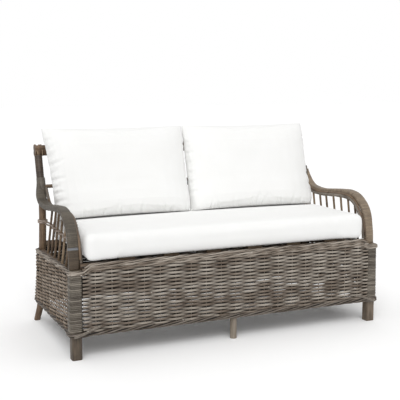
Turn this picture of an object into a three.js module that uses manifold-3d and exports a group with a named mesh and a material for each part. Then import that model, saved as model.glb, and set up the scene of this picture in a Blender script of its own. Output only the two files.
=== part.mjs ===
// A two-seat rattan garden sofa: a pole frame with a woven base, swept arms, and three loose cushions.
// Millimetres, +Z up. The front looks along -Y, X runs along the seat, and the origin lies on the floor
// under the middle of the sofa.
import * as THREE from "three";
import { mergeVertices } from "three/addons/utils/BufferGeometryUtils.js";
import Module from "manifold-3d";

const wasm = await Module();
wasm.setup();

// Fits
const gap = 0.3; // between pieces that touch
const overrun = 10; // how far a cutter passes what it cuts
const copeReach = 4; // how far a hollowed pole end reaches round the pole that it meets

// Overall plan
const overallDepth = 726; // cushion front to the top rail
const halfDepth = overallDepth / 2;
const postSpan = 1478; // between the front posts' axes
const legHeight = 98; // floor to the woven base
const baseHeight = 286; // woven side, at the front
const sideDrop = 12; // the side border falls this much towards the back
const frontRise = 28; // the front border stands this much over the side border

// Weave
const weave = 11; // thickness of a woven panel
const rowPitch = 8; // height of one row of the weave
const stakePitch = 73; // between the upright canes that the rows wind round
const weaveSwing = 4.5; // a row stands out this much before one stake and lies back as much before the next
const frontSetback = 8; // front weave behind the cushion's front
const topProud = 3; // the rope borders stand this far out of the side weave
const lowProud = 8;
const topRopeRadius = (weave + topProud) / 2;
const bottomRopeRadius = (weave + lowProud) / 2;

// Front posts and their wrapped corners
const postSize = 44;
const postRound = 8;
const wrapThickness = 3.7; // peel binding
const wrapProud = 2; // the wrapped corner stands this far out of the front weave
const wrapOuter = 8.7; // padding of the corner over the side stakes
const wrapTaper = 5; // the corner narrows by this much to its top
const wrapRear = 5.7;
const wrapRound = 12;

// Round poles of the frame
const rearPostRadius = 17;
const footTaperShare = 0.14; // the rear feet thin by this share down to the floor
const seatRailRadius = 16;
const baseRailRadius = 14;
const centreLegRadius = 16;
const midRailRadius = 9;
const backSpindleRadius = 7;
const armSpindleRadius = 5.5;
const innerPoleRadius = 7;

// Seat deck
const deckRise = 36.6; // side border to the top of the slats
const slatThickness = 12;
const slatWidth = 70;
const slatCount = 6;
const slatOverhang = 12; // past the axis of the rail that it rests on
const sideRailDrop = 38; // the side rails lie this much under the front and rear seat rails

// Rear posts, in side view
const backSeatInset = 110; // rear post axis at the side border, in front of the overall depth
const lowerRake = 58; // the post runs back this much down to the underside of the base
const footKick = 22; // and this much more down to the floor
const footSplay = 17; // the rear foot stands this far out of the line of the post
const postTopRise = 424; // post's top over the side border
const upperSweep = 81; // the post's top lies this far behind its axis at the side border
const postLean = 10; // and this far inwards
const upperShares = [
  [0.13, -0.056],
  [0.275, -0.062],
  [0.39, -0.025],
  [0.51, 0.067],
  [0.605, 0.21],
  [0.7, 0.383],
  [0.84, 0.654],
  [1, 1],
];

// Back rails
const topRailHeight = 54;
const topRailDepth = 28;
const topRailRound = 13;
const topRailEnd = 16; // past the rear post's axis
const midRailRise = 284; // over the side border
const backSpindlePitch = 204;
const backSpindleCount = 7;

// Arms
const bowWidth = 46;
const bowThickness = 26;
const bowRound = 9;
const bowFootIn = 11; // the bow's foot stands this far behind the post's axis
const armReach = 544; // bow's foot to where it starts up the rear post
const armStop = 29; // which is this far before the post's axis
const bowTaperShare = 0.62; // the bow narrows by this share along the rear post
const bowTaperLength = 90;
const poleGap = 1.5; // between the bow and the inner pole
const tenonRadius = 7;
const tenonLength = 30;
const bandHeight = 14;
const bandRise = 120; // over the side border, at the rear post
const bandDrop = 28; // the band falls this much towards the front
const bandStrand = 5; // thickness of one cane of the twisted band
const bandWaist = 4; // half thickness of the band where its two canes cross
const loopThickness = 6; // of the band's turn round the rear post

// Cushions
const seatCushionHeight = 112;
const seatCushionEdge = 30;
const seatCrown = 8;
const seatDrawIn = 5;
const seatShift = 6; // the loose seat cushion lies this far to the left
const seatSideClear = 2.5;
const seatRearClear = 8;
const backCushionHeight = 448;
const backCushionFront = 92; // fullness before the seam
const backCushionRear = 62; // fullness behind the seam
const backCushionLean = 21.3; // degrees
const backCushionEase = 3.2; // before the middle rail, so that it leans on the top rail
const backJointGap = 4; // between the two back cushions at their corners
const backJointLean = 10;
const backOuterFoot = 688; // half width over both back cushions at their foot
const backOuterFlare = 24; // and this much more at their top
const sideDrawIn = 5;
const backDrawIn = 11;
const backCushionSink = 14; // the bottom seam is pressed up by this much
const tabWidth = 9;
const tabThickness = 2.4;
const tabEase = 1; // the seam leans past the tab's edge
const tabHeight = 24;
const tabDrop = 80; // below the middle of the cushion

// Facets
const poleSides = 12;
const thinSides = 8;
const turnSides = 20;
const bowSteps = 30;
const bowCorner = 2;
const poleSteps = 28;
const postSteps = 18;
const searchSteps = 8;

// Derived levels
const baseTop = legHeight + baseHeight;
const rearBaseTop = baseTop - sideDrop;
const frontTop = baseTop + frontRise;
const deckTop = baseTop + deckRise;
const seatRailTop = deckTop - slatThickness - gap;
const seatRailZ = seatRailTop - seatRailRadius;
const sideRailZ = seatRailZ - sideRailDrop;
const baseRailZ = legHeight + baseRailRadius;
const cushionBottom = deckTop + gap;
const cushionTop = cushionBottom + seatCushionHeight;
const bandZ = baseTop + bandRise;
const midRailZ = baseTop + midRailRise;

// Derived plan
const frontFace = -halfDepth + frontSetback;
const frontBack = frontFace + weave;
const postX = postSpan / 2;
const halfPost = postSize / 2;
const postY = frontFace - wrapProud + wrapThickness + gap + halfPost;
const sideOuter = postX + halfPost + gap + wrapOuter;
const sideInner = sideOuter - 2 * bottomRopeRadius;
const wrapRearY = postY + halfPost + gap + wrapRear;
const frontRailY = frontBack + gap + seatRailRadius;
const sideRailX = sideInner - gap - seatRailRadius;
const bowX = postX;
const bowFootY = postY + bowFootIn;
const innerPoleX = bowX - bowWidth / 2 - poleGap - innerPoleRadius;
const rearPostX = sideInner - gap - rearPostRadius;

// Rear post axis as offsets (y, z) on which the rear panel, the spindles and the back rails also lie
const backSeatY = halfDepth - backSeatInset;
const armStretch = backSeatY - armStop - bowFootY - armReach; // keeps the arms' rear ends at the posts
const baseRearY = backSeatY + lowerRake;
const footRearY = baseRearY + footKick;
const postTopZ = baseTop + postTopRise;

function axisCurve() {
  const points = [
    [footSplay, footRearY, 0],
    [0, baseRearY, legHeight],
    [0, (baseRearY + backSeatY) / 2, legHeight + baseHeight / 2],
    [0, backSeatY, baseTop],
  ];
  for (const [rise, sweep] of upperShares) {
    points.push([-rise * postLean, backSeatY + sweep * upperSweep, baseTop + rise * postTopRise]);
  }
  return new THREE.CatmullRomCurve3(points.map(([x, y, z]) => new THREE.Vector3(x, y, z)));
}

const postAxis = axisCurve();

// The axis at a height, found by halving
function axisAt(z) {
  let low = 0;
  let high = 1;
  for (let i = 0; i < 40; i += 1) {
    const middle = (low + high) / 2;
    if (postAxis.getPoint(middle).z < z) low = middle;
    else high = middle;
  }
  return postAxis.getPoint(low);
}

// Solids
function solidOf(geometry) {
  const bare = new THREE.BufferGeometry();
  const source = geometry.index ? geometry.toNonIndexed() : geometry;
  bare.setAttribute("position", source.getAttribute("position"));
  const merged = mergeVertices(bare, 1e-3);
  return new wasm.Manifold(
    new wasm.Mesh({
      numProp: 3,
      vertProperties: new Float32Array(merged.attributes.position.array),
      triVerts: new Uint32Array(merged.index.array),
    }),
  );
}

function geometryOf(solid) {
  const mesh = solid.getMesh();
  const geometry = new THREE.BufferGeometry();
  geometry.setAttribute("position", new THREE.BufferAttribute(new Float32Array(mesh.vertProperties), 3));
  geometry.setIndex(new THREE.BufferAttribute(new Uint32Array(mesh.triVerts), 1));
  return geometry;
}

function ring(radius, sides) {
  const shape = new THREE.Shape();
  for (let i = 0; i < sides; i += 1) {
    const angle = (2 * Math.PI * (i + 0.5)) / sides;
    if (i) shape.lineTo(radius * Math.cos(angle), radius * Math.sin(angle));
    else shape.moveTo(radius * Math.cos(angle), radius * Math.sin(angle));
  }
  shape.closePath();
  return shape;
}

function roundedRectangle(width, height, radius) {
  const w = width / 2;
  const h = height / 2;
  const r = Math.min(radius, w, h);
  const shape = new THREE.Shape();
  shape.moveTo(w - r, -h);
  shape.absarc(w - r, r - h, r, -Math.PI / 2, 0, false);
  shape.absarc(w - r, h - r, r, 0, Math.PI / 2, false);
  shape.absarc(r - w, h - r, r, Math.PI / 2, Math.PI, false);
  shape.absarc(r - w, r - h, r, Math.PI, 1.5 * Math.PI, false);
  shape.closePath();
  return shape;
}

function along(shape, curve, steps, curveSegments = 3) {
  return new THREE.ExtrudeGeometry(shape, { steps, extrudePath: curve, curveSegments, bevelEnabled: false });
}

function prism(shape, length, curveSegments = 3) {
  return new THREE.ExtrudeGeometry(shape, { depth: length, steps: 1, curveSegments, bevelEnabled: false });
}

// A straight pole between two points
function pole(radius, from, to, sides = poleSides) {
  const path = new THREE.LineCurve3(new THREE.Vector3(...from), new THREE.Vector3(...to));
  return along(ring(radius, sides), path, 1);
}

// A prism whose outline is drawn in side view (y, z) and which runs from x0 to x1
function sidePrism(outline, x0, x1) {
  const shape = new THREE.Shape(outline.map(([y, z]) => new THREE.Vector2(y, z)));
  const geometry = prism(shape, x1 - x0);
  geometry.applyMatrix4(new THREE.Matrix4().set(0, 0, 1, x0, 1, 0, 0, 0, 0, 1, 0, 0, 0, 0, 0, 1));
  return geometry;
}

function box(x0, x1, y0, y1, z0, z1) {
  const geometry = new THREE.BoxGeometry(x1 - x0, y1 - y0, z1 - z0);
  geometry.translate((x0 + x1) / 2, (y0 + y1) / 2, (z0 + z1) / 2);
  return geometry;
}

// Looks, only to tell the pieces apart here
const rattan = new THREE.MeshStandardMaterial({ color: 0x86705a, roughness: 0.6, metalness: 0 });
const peel = new THREE.MeshStandardMaterial({ color: 0x6b6355, roughness: 0.65, metalness: 0 });
const wicker = new THREE.MeshStandardMaterial({ color: 0x777067, roughness: 0.7, metalness: 0 });
const cloth = new THREE.MeshStandardMaterial({ color: 0xf4f4f2, roughness: 0.95, metalness: 0 });
const tape = new THREE.MeshStandardMaterial({ color: 0x26282c, roughness: 0.9, metalness: 0 });

const sofa = new THREE.Group();

function add(name, shape, material) {
  const geometry = shape instanceof THREE.BufferGeometry ? shape : geometryOf(shape);
  const mesh = new THREE.Mesh(geometry, material);
  mesh.name = name;
  sofa.add(mesh);
}

const sides = [
  { word: "left", sign: -1 },
  { word: "right", sign: 1 },
];

// Axes of the straight poles, used for the poles themselves and for what is hollowed round them
const bottomCut = solidOf(box(-sideOuter * 2, sideOuter * 2, -overallDepth, overallDepth, -overallDepth, 0));

function rearPost(sign, extra) {
  const points = [];
  const start = postAxis.getPoint(0);
  const next = postAxis.getPoint(0.01);
  const below = start.clone().add(start.clone().sub(next).setLength(overrun));
  points.push(below);
  for (let i = 0; i <= postSteps; i += 1) points.push(postAxis.getPoint(i / postSteps));
  const curve = new THREE.CatmullRomCurve3(
    points.map((p) => new THREE.Vector3(sign * (rearPostX + p.x), p.y, p.z)),
  );
  const geometry = along(ring(rearPostRadius + extra, poleSides), curve, postSteps);
  const place = geometry.getAttribute("position");
  for (let i = 0; i < place.count; i += 1) {
    if (place.getZ(i) > legHeight) continue;
    const axis = axisAt(Math.max(0, place.getZ(i)));
    const keep = 1 - footTaperShare * (1 - Math.max(0, place.getZ(i)) / legHeight);
    const x = sign * (rearPostX + axis.x);
    place.setX(i, x + (place.getX(i) - x) * keep);
    place.setY(i, axis.y + (place.getY(i) - axis.y) * keep);
  }
  return solidOf(geometry);
}

function frontSeatRail(extra) {
  const reach = Math.min(postX - halfPost, bowX - bowWidth / 2) - gap + extra;
  return solidOf(
    pole(seatRailRadius + extra, [-reach, frontRailY, seatRailZ], [reach, frontRailY, seatRailZ]),
  );
}

function frontBaseRail(extra) {
  const y = frontBack + gap + baseRailRadius;
  const reach = postX - halfPost - gap + extra;
  return solidOf(pole(baseRailRadius + extra, [-reach, y, baseRailZ], [reach, y, baseRailZ]));
}

function sideBaseRail(sign, extra) {
  const x = sign * (sideInner - gap - baseRailRadius);
  const front = postY + halfPost + gap - extra;
  const back = axisAt(baseRailZ).y - rearPostRadius + copeReach;
  return solidOf(pole(baseRailRadius + extra, [x, front, baseRailZ], [x, back, baseRailZ]));
}

const rearBaseRailY = axisAt(baseRailZ).y;
const rearSeatRailY = axisAt(seatRailZ).y;

// Arms. Shares of the reach, and of the rise over the side border
const armRise = 228; // highest part of the bow's middle line over the side border
const bowShares = [
  [0, 0],
  [0.004, 0.2],
  [0.017, 0.39],
  [0.034, 0.57],
  [0.07, 0.73],
  [0.13, 0.86],
  [0.206, 0.956],
  [0.315, 1],
  [0.424, 0.988],
  [0.576, 0.955],
  [0.742, 0.918],
  [0.858, 0.925],
  [0.962, 0.972],
  [1.018, 1.06],
  [1.055, 1.18],
  [1.088, 1.34],
];
const innerShares = [
  [0, 0],
  [0.01, 0.2],
  [0.04, 0.44],
  [0.085, 0.6],
  [0.122, 0.72],
  [0.177, 0.83],
  [0.252, 0.89],
  [0.352, 0.905],
  [0.462, 0.896],
  [0.607, 0.867],
  [0.735, 0.846],
  [0.85, 0.86],
  [0.94, 0.93],
  [0.985, 1.02],
  [1.025, 1.13],
  [1.062, 1.24],
];

// A place along the arm, which goes with the front post at its foot and with the rear post at its end
function armPlace(share) {
  return bowFootY + share * armReach + armStretch * THREE.MathUtils.smoothstep(share, 0, 1);
}

function armCurve(shares, x, footZ) {
  const rise = armRise + baseTop - footZ;
  const points = shares.map(([a, b]) => new THREE.Vector3(x, armPlace(a), footZ + b * rise));
  return new THREE.CatmullRomCurve3(points);
}

function bow(sign) {
  const curve = armCurve(bowShares, sign * bowX, baseTop);
  const section = roundedRectangle(bowWidth, bowThickness, bowRound);
  const geometry = along(section, curve, bowSteps, bowCorner);
  const place = geometry.getAttribute("position");
  const from = baseTop + armRise;
  for (let i = 0; i < place.count; i += 1) {
    if (place.getY(i) < armPlace(0.5)) continue;
    const t = THREE.MathUtils.smoothstep(place.getZ(i), from, from + bowTaperLength);
    place.setX(i, sign * bowX + (place.getX(i) - sign * bowX) * (1 - bowTaperShare * t));
  }
  return solidOf(geometry);
}

function innerPole(sign, extra) {
  const curve = armCurve(innerShares, sign * innerPoleX, seatRailZ);
  return solidOf(along(ring(innerPoleRadius + extra, thinSides), curve, poleSteps));
}

// The point of an arm's curve that comes nearest to a height or to a place along the arm
function nearest(curve, key, value) {
  let best = curve.getPoint(0);
  for (let i = 0; i <= poleSteps * searchSteps; i += 1) {
    const p = curve.getPoint(i / (poleSteps * searchSteps));
    if (Math.abs(p[key] - value) < Math.abs(best[key] - value)) best = p;
  }
  return best;
}

function innerTopAt(y) {
  return nearest(armCurve(innerShares, 0, seatRailZ), "y", y).z;
}

// The bow made larger by the gap, for what meets its back
function bowCut(sign) {
  const curve = armCurve(bowShares, sign * bowX, baseTop);
  const section = roundedRectangle(bowWidth + 2 * gap, bowThickness + 2 * gap, bowRound);
  return solidOf(along(section, curve, bowSteps, bowCorner));
}

// Posts and legs
const topTilt = postAxis.getTangent(1);
const rearCuts = { left: rearPost(-1, gap), right: rearPost(1, gap) };

function bowTenon(sign, extra) {
  const top = baseTop + overrun;
  const bottom = baseTop - tenonLength - extra;
  return solidOf(
    pole(tenonRadius + extra, [sign * bowX, bowFootY, bottom], [sign * bowX, bowFootY, top], poleSides),
  );
}

for (const { word, sign } of sides) {
  const post = prism(roundedRectangle(postSize, postSize, postRound), baseTop - gap);
  post.translate(sign * postX, postY, 0);
  add("front_post_" + word, solidOf(post).subtract(bowTenon(sign, gap)), peel);

  add("rear_post_" + word, rearPost(sign, 0).subtract(bottomCut), rattan);
}

function centreLeg(y) {
  return pole(centreLegRadius, [0, y, 0], [0, y, legHeight - gap]);
}

add("centre_leg_front", centreLeg(frontBack + gap + baseRailRadius), peel);
add("centre_leg_rear", centreLeg(rearBaseRailY), peel);

// The wrapped corner round each front post
for (const { word, sign } of sides) {
  const inner = postX - halfPost - gap - wrapThickness;
  const front = frontFace - wrapProud;
  const outline = roundedRectangle(sideOuter - inner, wrapRearY - front, wrapRound);
  const sleeve = prism(outline, baseTop - gap - legHeight);
  sleeve.translate((sign * (sideOuter + inner)) / 2, (wrapRearY + front) / 2, legHeight);
  const place = sleeve.getAttribute("position");
  for (let i = 0; i < place.count; i += 1) {
    if (sign * place.getX(i) < postX) continue;
    place.setX(i, place.getX(i) - (sign * wrapTaper * (place.getZ(i) - legHeight)) / baseHeight);
  }
  const hollow = prism(roundedRectangle(postSize + 2 * gap, postSize + 2 * gap, postRound), baseTop + overrun);
  hollow.translate(sign * postX, postY, 0);
  const wrap = solidOf(sleeve)
    .subtract(solidOf(hollow))
    .subtract(frontSeatRail(gap))
    .subtract(frontBaseRail(gap))
    .subtract(sideBaseRail(sign, gap))
    .subtract(sideSeatRail(sign, gap));
  add("corner_wrap_" + word, wrap, peel);
}

// Base rails, low down behind the weave
add("base_rail_front", frontBaseRail(0), rattan);

function rearRail(radius, y, z) {
  const reach = rearPostX - rearPostRadius + copeReach;
  return solidOf(pole(radius, [-reach, y, z], [reach, y, z]));
}

function betweenRearPosts(radius, y, z) {
  return rearRail(radius, y, z).subtract(rearCuts.left).subtract(rearCuts.right);
}

add("base_rail_rear", betweenRearPosts(baseRailRadius, rearBaseRailY, baseRailZ), rattan);

// The front and rear seat rails carry the slats, the side ones the arms' spindles
add("seat_rail_front", frontSeatRail(0), rattan);
add("seat_rail_rear", betweenRearPosts(seatRailRadius, rearSeatRailY, seatRailZ), rattan);

function sideSeatRail(sign, extra) {
  const x = sign * sideRailX;
  const front = Math.max(postY + halfPost, bowFootY + bowThickness / 2) + gap - extra;
  const back = axisAt(sideRailZ).y - rearPostRadius + copeReach;
  return solidOf(pole(seatRailRadius + extra, [x, front, sideRailZ], [x, back, sideRailZ]));
}

for (const { word, sign } of sides) {
  add("base_rail_" + word, sideBaseRail(sign, 0).subtract(rearCuts[word]), rattan);
  add("seat_rail_" + word, sideSeatRail(sign, 0).subtract(rearCuts[word]).subtract(bowCut(sign)), rattan);
}

// Slats from the front rail to the rear rail
for (let i = 0; i < slatCount; i += 1) {
  const x = (i - (slatCount - 1) / 2) * backSpindlePitch; // between the back spindles
  const from = frontRailY - slatOverhang;
  const to = rearSeatRailY + slatOverhang;
  add(
    "seat_slat_" + (i + 1),
    box(x - slatWidth / 2, x + slatWidth / 2, from, to, deckTop - slatThickness, deckTop),
    rattan,
  );
}

// Woven panels, each a slab with a rope border along its top and its bottom
function rope(radius, from, to) {
  return solidOf(pole(radius, from, to));
}

// A woven slab across the sofa. Its outer face waves from stake to stake and from row to row between the
// borders, and its back, its ends and its edges are plain
function wovenSlab(reach, [bottom, top], backAt, thickness, outward) {
  const low = bottom + 2 * bottomRopeRadius;
  const high = top - 2 * topRopeRadius;
  const rowCount = Math.round((high - low) / rowPitch);
  const stakeCount = Math.floor((reach - weave) / stakePitch);
  const heights = [bottom, low];
  for (let j = 0; j < rowCount; j += 1) heights.push(low + ((high - low) * (j + 0.5)) / rowCount);
  heights.push(high, top);
  const places = [-reach];
  for (let k = -stakeCount; k <= stakeCount; k += 1) places.push(k * stakePitch);
  places.push(reach);
  const across = places.length;
  const up = heights.length;
  const points = [];
  heights.forEach((z, j) => {
    places.forEach((x, i) => {
      const plain = j < 2 || j > up - 3 || i === 0 || i === across - 1;
      const wave = plain ? 0 : (i + j) % 2 ? weaveSwing : -weaveSwing;
      points.push(x, backAt(z) + outward * (thickness + wave), z);
    });
  });
  const [a, b, c, d] = [0, 1, 2, 3].map((n) => across * up + n);
  const corners = [[-reach, bottom], [reach, bottom], [reach, top], [-reach, top]];
  for (const [x, z] of corners) points.push(x, backAt(z), z);
  const at = (i, j) => j * across + i;
  const faces = [[a, d, c], [a, c, b]];
  for (let j = 0; j < up - 1; j += 1) {
    for (let i = 0; i < across - 1; i += 1) {
      faces.push([at(i, j), at(i + 1, j), at(i + 1, j + 1)], [at(i, j), at(i + 1, j + 1), at(i, j + 1)]);
    }
    faces.push([a, at(0, j), at(0, j + 1)], [b, at(across - 1, j + 1), at(across - 1, j)]);
  }
  for (let i = 0; i < across - 1; i += 1) {
    faces.push([a, at(i + 1, 0), at(i, 0)], [d, at(i, up - 1), at(i + 1, up - 1)]);
  }
  faces.push([a, b, at(across - 1, 0)], [d, at(across - 1, up - 1), c]);
  faces.push([a, at(0, up - 1), d], [b, c, at(across - 1, up - 1)]);
  if (outward > 0) faces.forEach((face) => face.reverse());
  const geometry = new THREE.BufferGeometry();
  geometry.setAttribute("position", new THREE.BufferAttribute(new Float32Array(points), 3));
  geometry.setIndex(faces.flat());
  return geometry;
}

{
  const reach = postX - halfPost - gap - wrapThickness - gap;
  const slab = solidOf(wovenSlab(reach, [legHeight + gap, frontTop], () => frontBack, weave, -1));
  const topY = frontBack - topRopeRadius;
  const topZ = frontTop - topRopeRadius;
  const lowY = frontBack - bottomRopeRadius;
  const lowZ = legHeight + gap + bottomRopeRadius;
  const panel = slab
    .add(rope(topRopeRadius, [-reach, topY, topZ], [reach, topY, topZ]))
    .add(rope(bottomRopeRadius, [-reach, lowY, lowZ], [reach, lowY, lowZ]));
  add("woven_panel_front", panel, wicker);
}

// The sides turn round the raked lower part of the rear posts
const rakeAngle = Math.atan2(lowerRake, baseHeight);
const rakeY = (z) => baseRearY - ((z - legHeight) * lowerRake) / baseHeight;
const turnRadius = rearPostRadius + gap + weave;

function rakedTurn(sign, radius, low, high) {
  return solidOf(
    pole(radius, [sign * rearPostX, rakeY(low), low], [sign * rearPostX, rakeY(high), high], turnSides),
  );
}

for (const { word, sign } of sides) {
  const front = wrapRearY + gap;
  const bottom = legHeight + gap;
  const top = baseTop - gap;
  const outline = [
    [front, bottom],
    [rakeY(bottom), bottom],
    [rakeY(rearBaseTop), rearBaseTop],
    [front, top],
  ];
  const sideFace = sideInner + weave;
  const ends = sign > 0 ? [sideInner, sideFace] : [-sideFace, -sideInner];
  const topX = sign * (sideInner + topRopeRadius);
  const lowX = sign * (sideInner + bottomRopeRadius);
  const topRope = rope(
    topRopeRadius,
    [topX, front, top - topRopeRadius],
    [topX, rakeY(rearBaseTop), rearBaseTop - topRopeRadius],
  );
  const lowZ = bottom + bottomRopeRadius;
  const lowRope = rope(bottomRopeRadius, [lowX, front, lowZ], [lowX, rakeY(lowZ), lowZ]);
  const turn = rakedTurn(sign, turnRadius, legHeight - overrun, baseTop)
    .add(rakedTurn(sign, turnRadius + topProud, rearBaseTop - 2 * topRopeRadius, baseTop))
    .add(rakedTurn(sign, turnRadius + lowProud, legHeight - overrun, bottom + 2 * bottomRopeRadius))
    .intersect(solidOf(box(-sideOuter, sideOuter, 0, overallDepth, bottom, rearBaseTop)))
    .subtract(rearCuts[word])
    .subtract(rearRail(baseRailRadius + gap, rearBaseRailY, baseRailZ))
    .subtract(rearRail(seatRailRadius + gap, rearSeatRailY, seatRailZ));
  const panel = solidOf(sidePrism(outline, ...ends))
    .add(topRope)
    .add(lowRope)
    .subtract(rearCuts[word])
    .add(turn)
    .subtract(sideBaseRail(sign, gap))
    .subtract(sideSeatRail(sign, gap));
  add("woven_panel_" + word, panel, wicker);
}

// The rear panel stands behind the rear rails, between the turns of the sides
{
  const bottom = legHeight + gap;
  const inner = (z) => rakeY(z) + (baseRailRadius + gap) / Math.cos(rakeAngle);
  const depth = weave / Math.cos(rakeAngle);
  const reach = rearPostX - turnRadius - lowProud - gap;
  add("woven_panel_rear", wovenSlab(reach, [bottom, rearBaseTop], inner, depth, 1), wicker);
}

// Back rails. The top rail caps the posts and leans with them
function topTenon(sign, extra) {
  const up = topTilt.clone().multiplyScalar(tenonLength + extra);
  const end = postAxis.getPoint(1);
  const x = sign * (rearPostX + end.x);
  return solidOf(pole(tenonRadius + extra, [x, end.y, end.z], [x, end.y + up.y, end.z + up.z], thinSides));
}

{
  const end = postAxis.getPoint(1);
  const reach = rearPostX - postLean + topRailEnd;
  const lift = gap + topRailHeight / 2 + rearPostRadius * Math.abs(topTilt.x);
  const rail = prism(roundedRectangle(topRailDepth, topRailHeight, topRailRound), 2 * reach);
  rail.applyMatrix4(new THREE.Matrix4().set(0, 0, 1, -reach, 1, 0, 0, 0, 0, 1, 0, 0, 0, 0, 0, 1));
  rail.rotateX(-Math.atan2(topTilt.y, topTilt.z));
  rail.translate(0, end.y + topTilt.y * lift, end.z + topTilt.z * lift);
  add("back_top_rail", rail, peel);
}

// The middle rail lies before the posts and the spindles
const midAxis = axisAt(midRailZ);
const midRailY = midAxis.y - backSpindleRadius - gap - midRailRadius;

function midRail(extra) {
  const reach = rearPostX - midRailRadius;
  return solidOf(pole(midRailRadius + extra, [-reach, midRailY, midRailZ], [reach, midRailY, midRailZ]));
}

const bareRail = midRail(0).subtract(rearCuts.left).subtract(rearCuts.right);
add("back_mid_rail", bareRail.subtract(bowCut(-1)).subtract(bowCut(1)), rattan);

// Back spindles follow the posts from the rear seat rail to the top rail
{
  const seatRailCut = solidOf(
    pole(
      seatRailRadius + gap,
      [-sideOuter, rearSeatRailY, seatRailZ],
      [sideOuter, rearSeatRailY, seatRailZ],
    ),
  );
  for (let i = 0; i < backSpindleCount; i += 1) {
    const x = (i - (backSpindleCount - 1) / 2) * backSpindlePitch;
    const points = [];
    for (let n = 0; n <= postSteps; n += 1) {
      const p = postAxis.getPoint(n / postSteps);
      if (p.z > seatRailZ) points.push(new THREE.Vector3(x, p.y, p.z));
    }
    points.unshift(new THREE.Vector3(x, rearSeatRailY, seatRailZ));
    const spindle = along(ring(backSpindleRadius, thinSides), new THREE.CatmullRomCurve3(points), poleSides);
    add("back_spindle_" + (i + 1), solidOf(spindle).subtract(seatRailCut), rattan);
  }
}

const bandWaveShare = 0.12; // of the arm's reach, over which the band's canes part for a spindle
const spindlePlaceShares = [0.145, 0.255, 0.375, 0.497, 0.622, 0.73, 0.85];

function armSpindle(sign, share, extra) {
  const y = armPlace(share);
  const foot = new THREE.Vector3(sign * sideRailX, y, sideRailZ);
  const top = innerTopAt(y);
  const head = new THREE.Vector3(sign * innerPoleX, y, top);
  return solidOf(pole(armSpindleRadius + extra, foot.toArray(), head.toArray(), thinSides));
}

// The twisted band: two canes that pass on both sides of each spindle and turn round the rear post
function band(sign) {
  const lean = (sideRailX - innerPoleX) / (innerTopAt(armPlace(0.5)) - sideRailZ);
  const from = nearest(armCurve(bowShares, 0, baseTop), "z", bandZ - bandDrop).y;
  const to = axisAt(bandZ).y;
  const fall = (y) => (bandDrop * Math.max(0, to - y)) / (to - from);
  const swell = armSpindleRadius + gap + bandStrand;
  const places = spindlePlaceShares.map(armPlace);
  const half = (y) => {
    const near = Math.min(...places.map((p) => Math.abs(p - y)));
    const wave = Math.max(0, Math.cos((Math.PI * near) / (armReach * bandWaveShare)));
    return bandWaist + (swell - bandWaist) * wave;
  };
  const count = 64;
  const outer = [];
  const inner = [];
  for (let i = 0; i <= count; i += 1) {
    const y = from + ((to - from) * i) / count;
    const x = sideRailX - lean * (bandZ - fall(y) - sideRailZ);
    const bend = (rearPostX - x) * THREE.MathUtils.smoothstep(y, places.at(-1) + swell, to);
    outer.push(new THREE.Vector2(sign * (x + bend + half(y)), y));
    inner.unshift(new THREE.Vector2(sign * (x + bend - half(y)), y));
  }
  const outline = [...outer, ...inner];
  if (sign < 0) outline.reverse();
  const strip = prism(new THREE.Shape(outline), bandHeight);
  strip.translate(0, 0, bandZ - bandHeight / 2);
  const place = strip.getAttribute("position");
  for (let i = 0; i < place.count; i += 1) place.setZ(i, place.getZ(i) - fall(place.getY(i)));
  const turn = pole(
    rearPostRadius + gap + loopThickness,
    [sign * rearPostX, to, bandZ - bandHeight / 2],
    [sign * rearPostX, to, bandZ + bandHeight / 2],
  );
  let made = solidOf(strip).add(solidOf(turn));
  for (const share of spindlePlaceShares) made = made.subtract(armSpindle(sign, share, gap));
  return made.subtract(rearPost(sign, gap)).subtract(innerPole(sign, gap)).subtract(bowCut(sign));
}

for (const { word, sign } of sides) {
  const flat = solidOf(
    box(-sideOuter * 2, sideOuter * 2, -overallDepth, armPlace(0.5), -overallDepth, baseTop),
  );
  add(
    "arm_bow_" + word,
    bow(sign).subtract(flat).add(bowTenon(sign, 0)).subtract(rearCuts[word]),
    peel,
  );
  const standing = innerPole(sign, 0).subtract(frontSeatRail(gap)).subtract(midRail(gap));
  add("arm_inner_pole_" + word, standing, rattan);
  add("arm_band_" + word, band(sign), wicker);
  spindlePlaceShares.forEach((share, i) => {
    const spindle = armSpindle(sign, share, 0)
      .subtract(sideSeatRail(sign, gap))
      .subtract(innerPole(sign, gap));
    add("arm_spindle_" + word + "_" + (i + 1), spindle, rattan);
  });
}

// Cushions
const seatHalfWidth = innerPoleX - innerPoleRadius - seatSideClear - seatShift;
const seatRear = axisAt(cushionTop).y - rearPostRadius - seatRearClear;
const seatMiddleY = (seatRear - halfDepth) / 2;
const seatHalfDepth = (seatRear + halfDepth) / 2;

function crownAt(x, y) {
  const u = (x + seatShift) / seatHalfWidth;
  const v = (y - seatMiddleY) / seatHalfDepth;
  return seatCrown * Math.max(0, 1 - u * u) * Math.max(0, 1 - v * v);
}

// Moves evenly spaced rows towards the edges
function crowd(t) {
  return Math.sign(t) * (1 - (1 - Math.abs(t)) ** 2.2);
}

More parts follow.
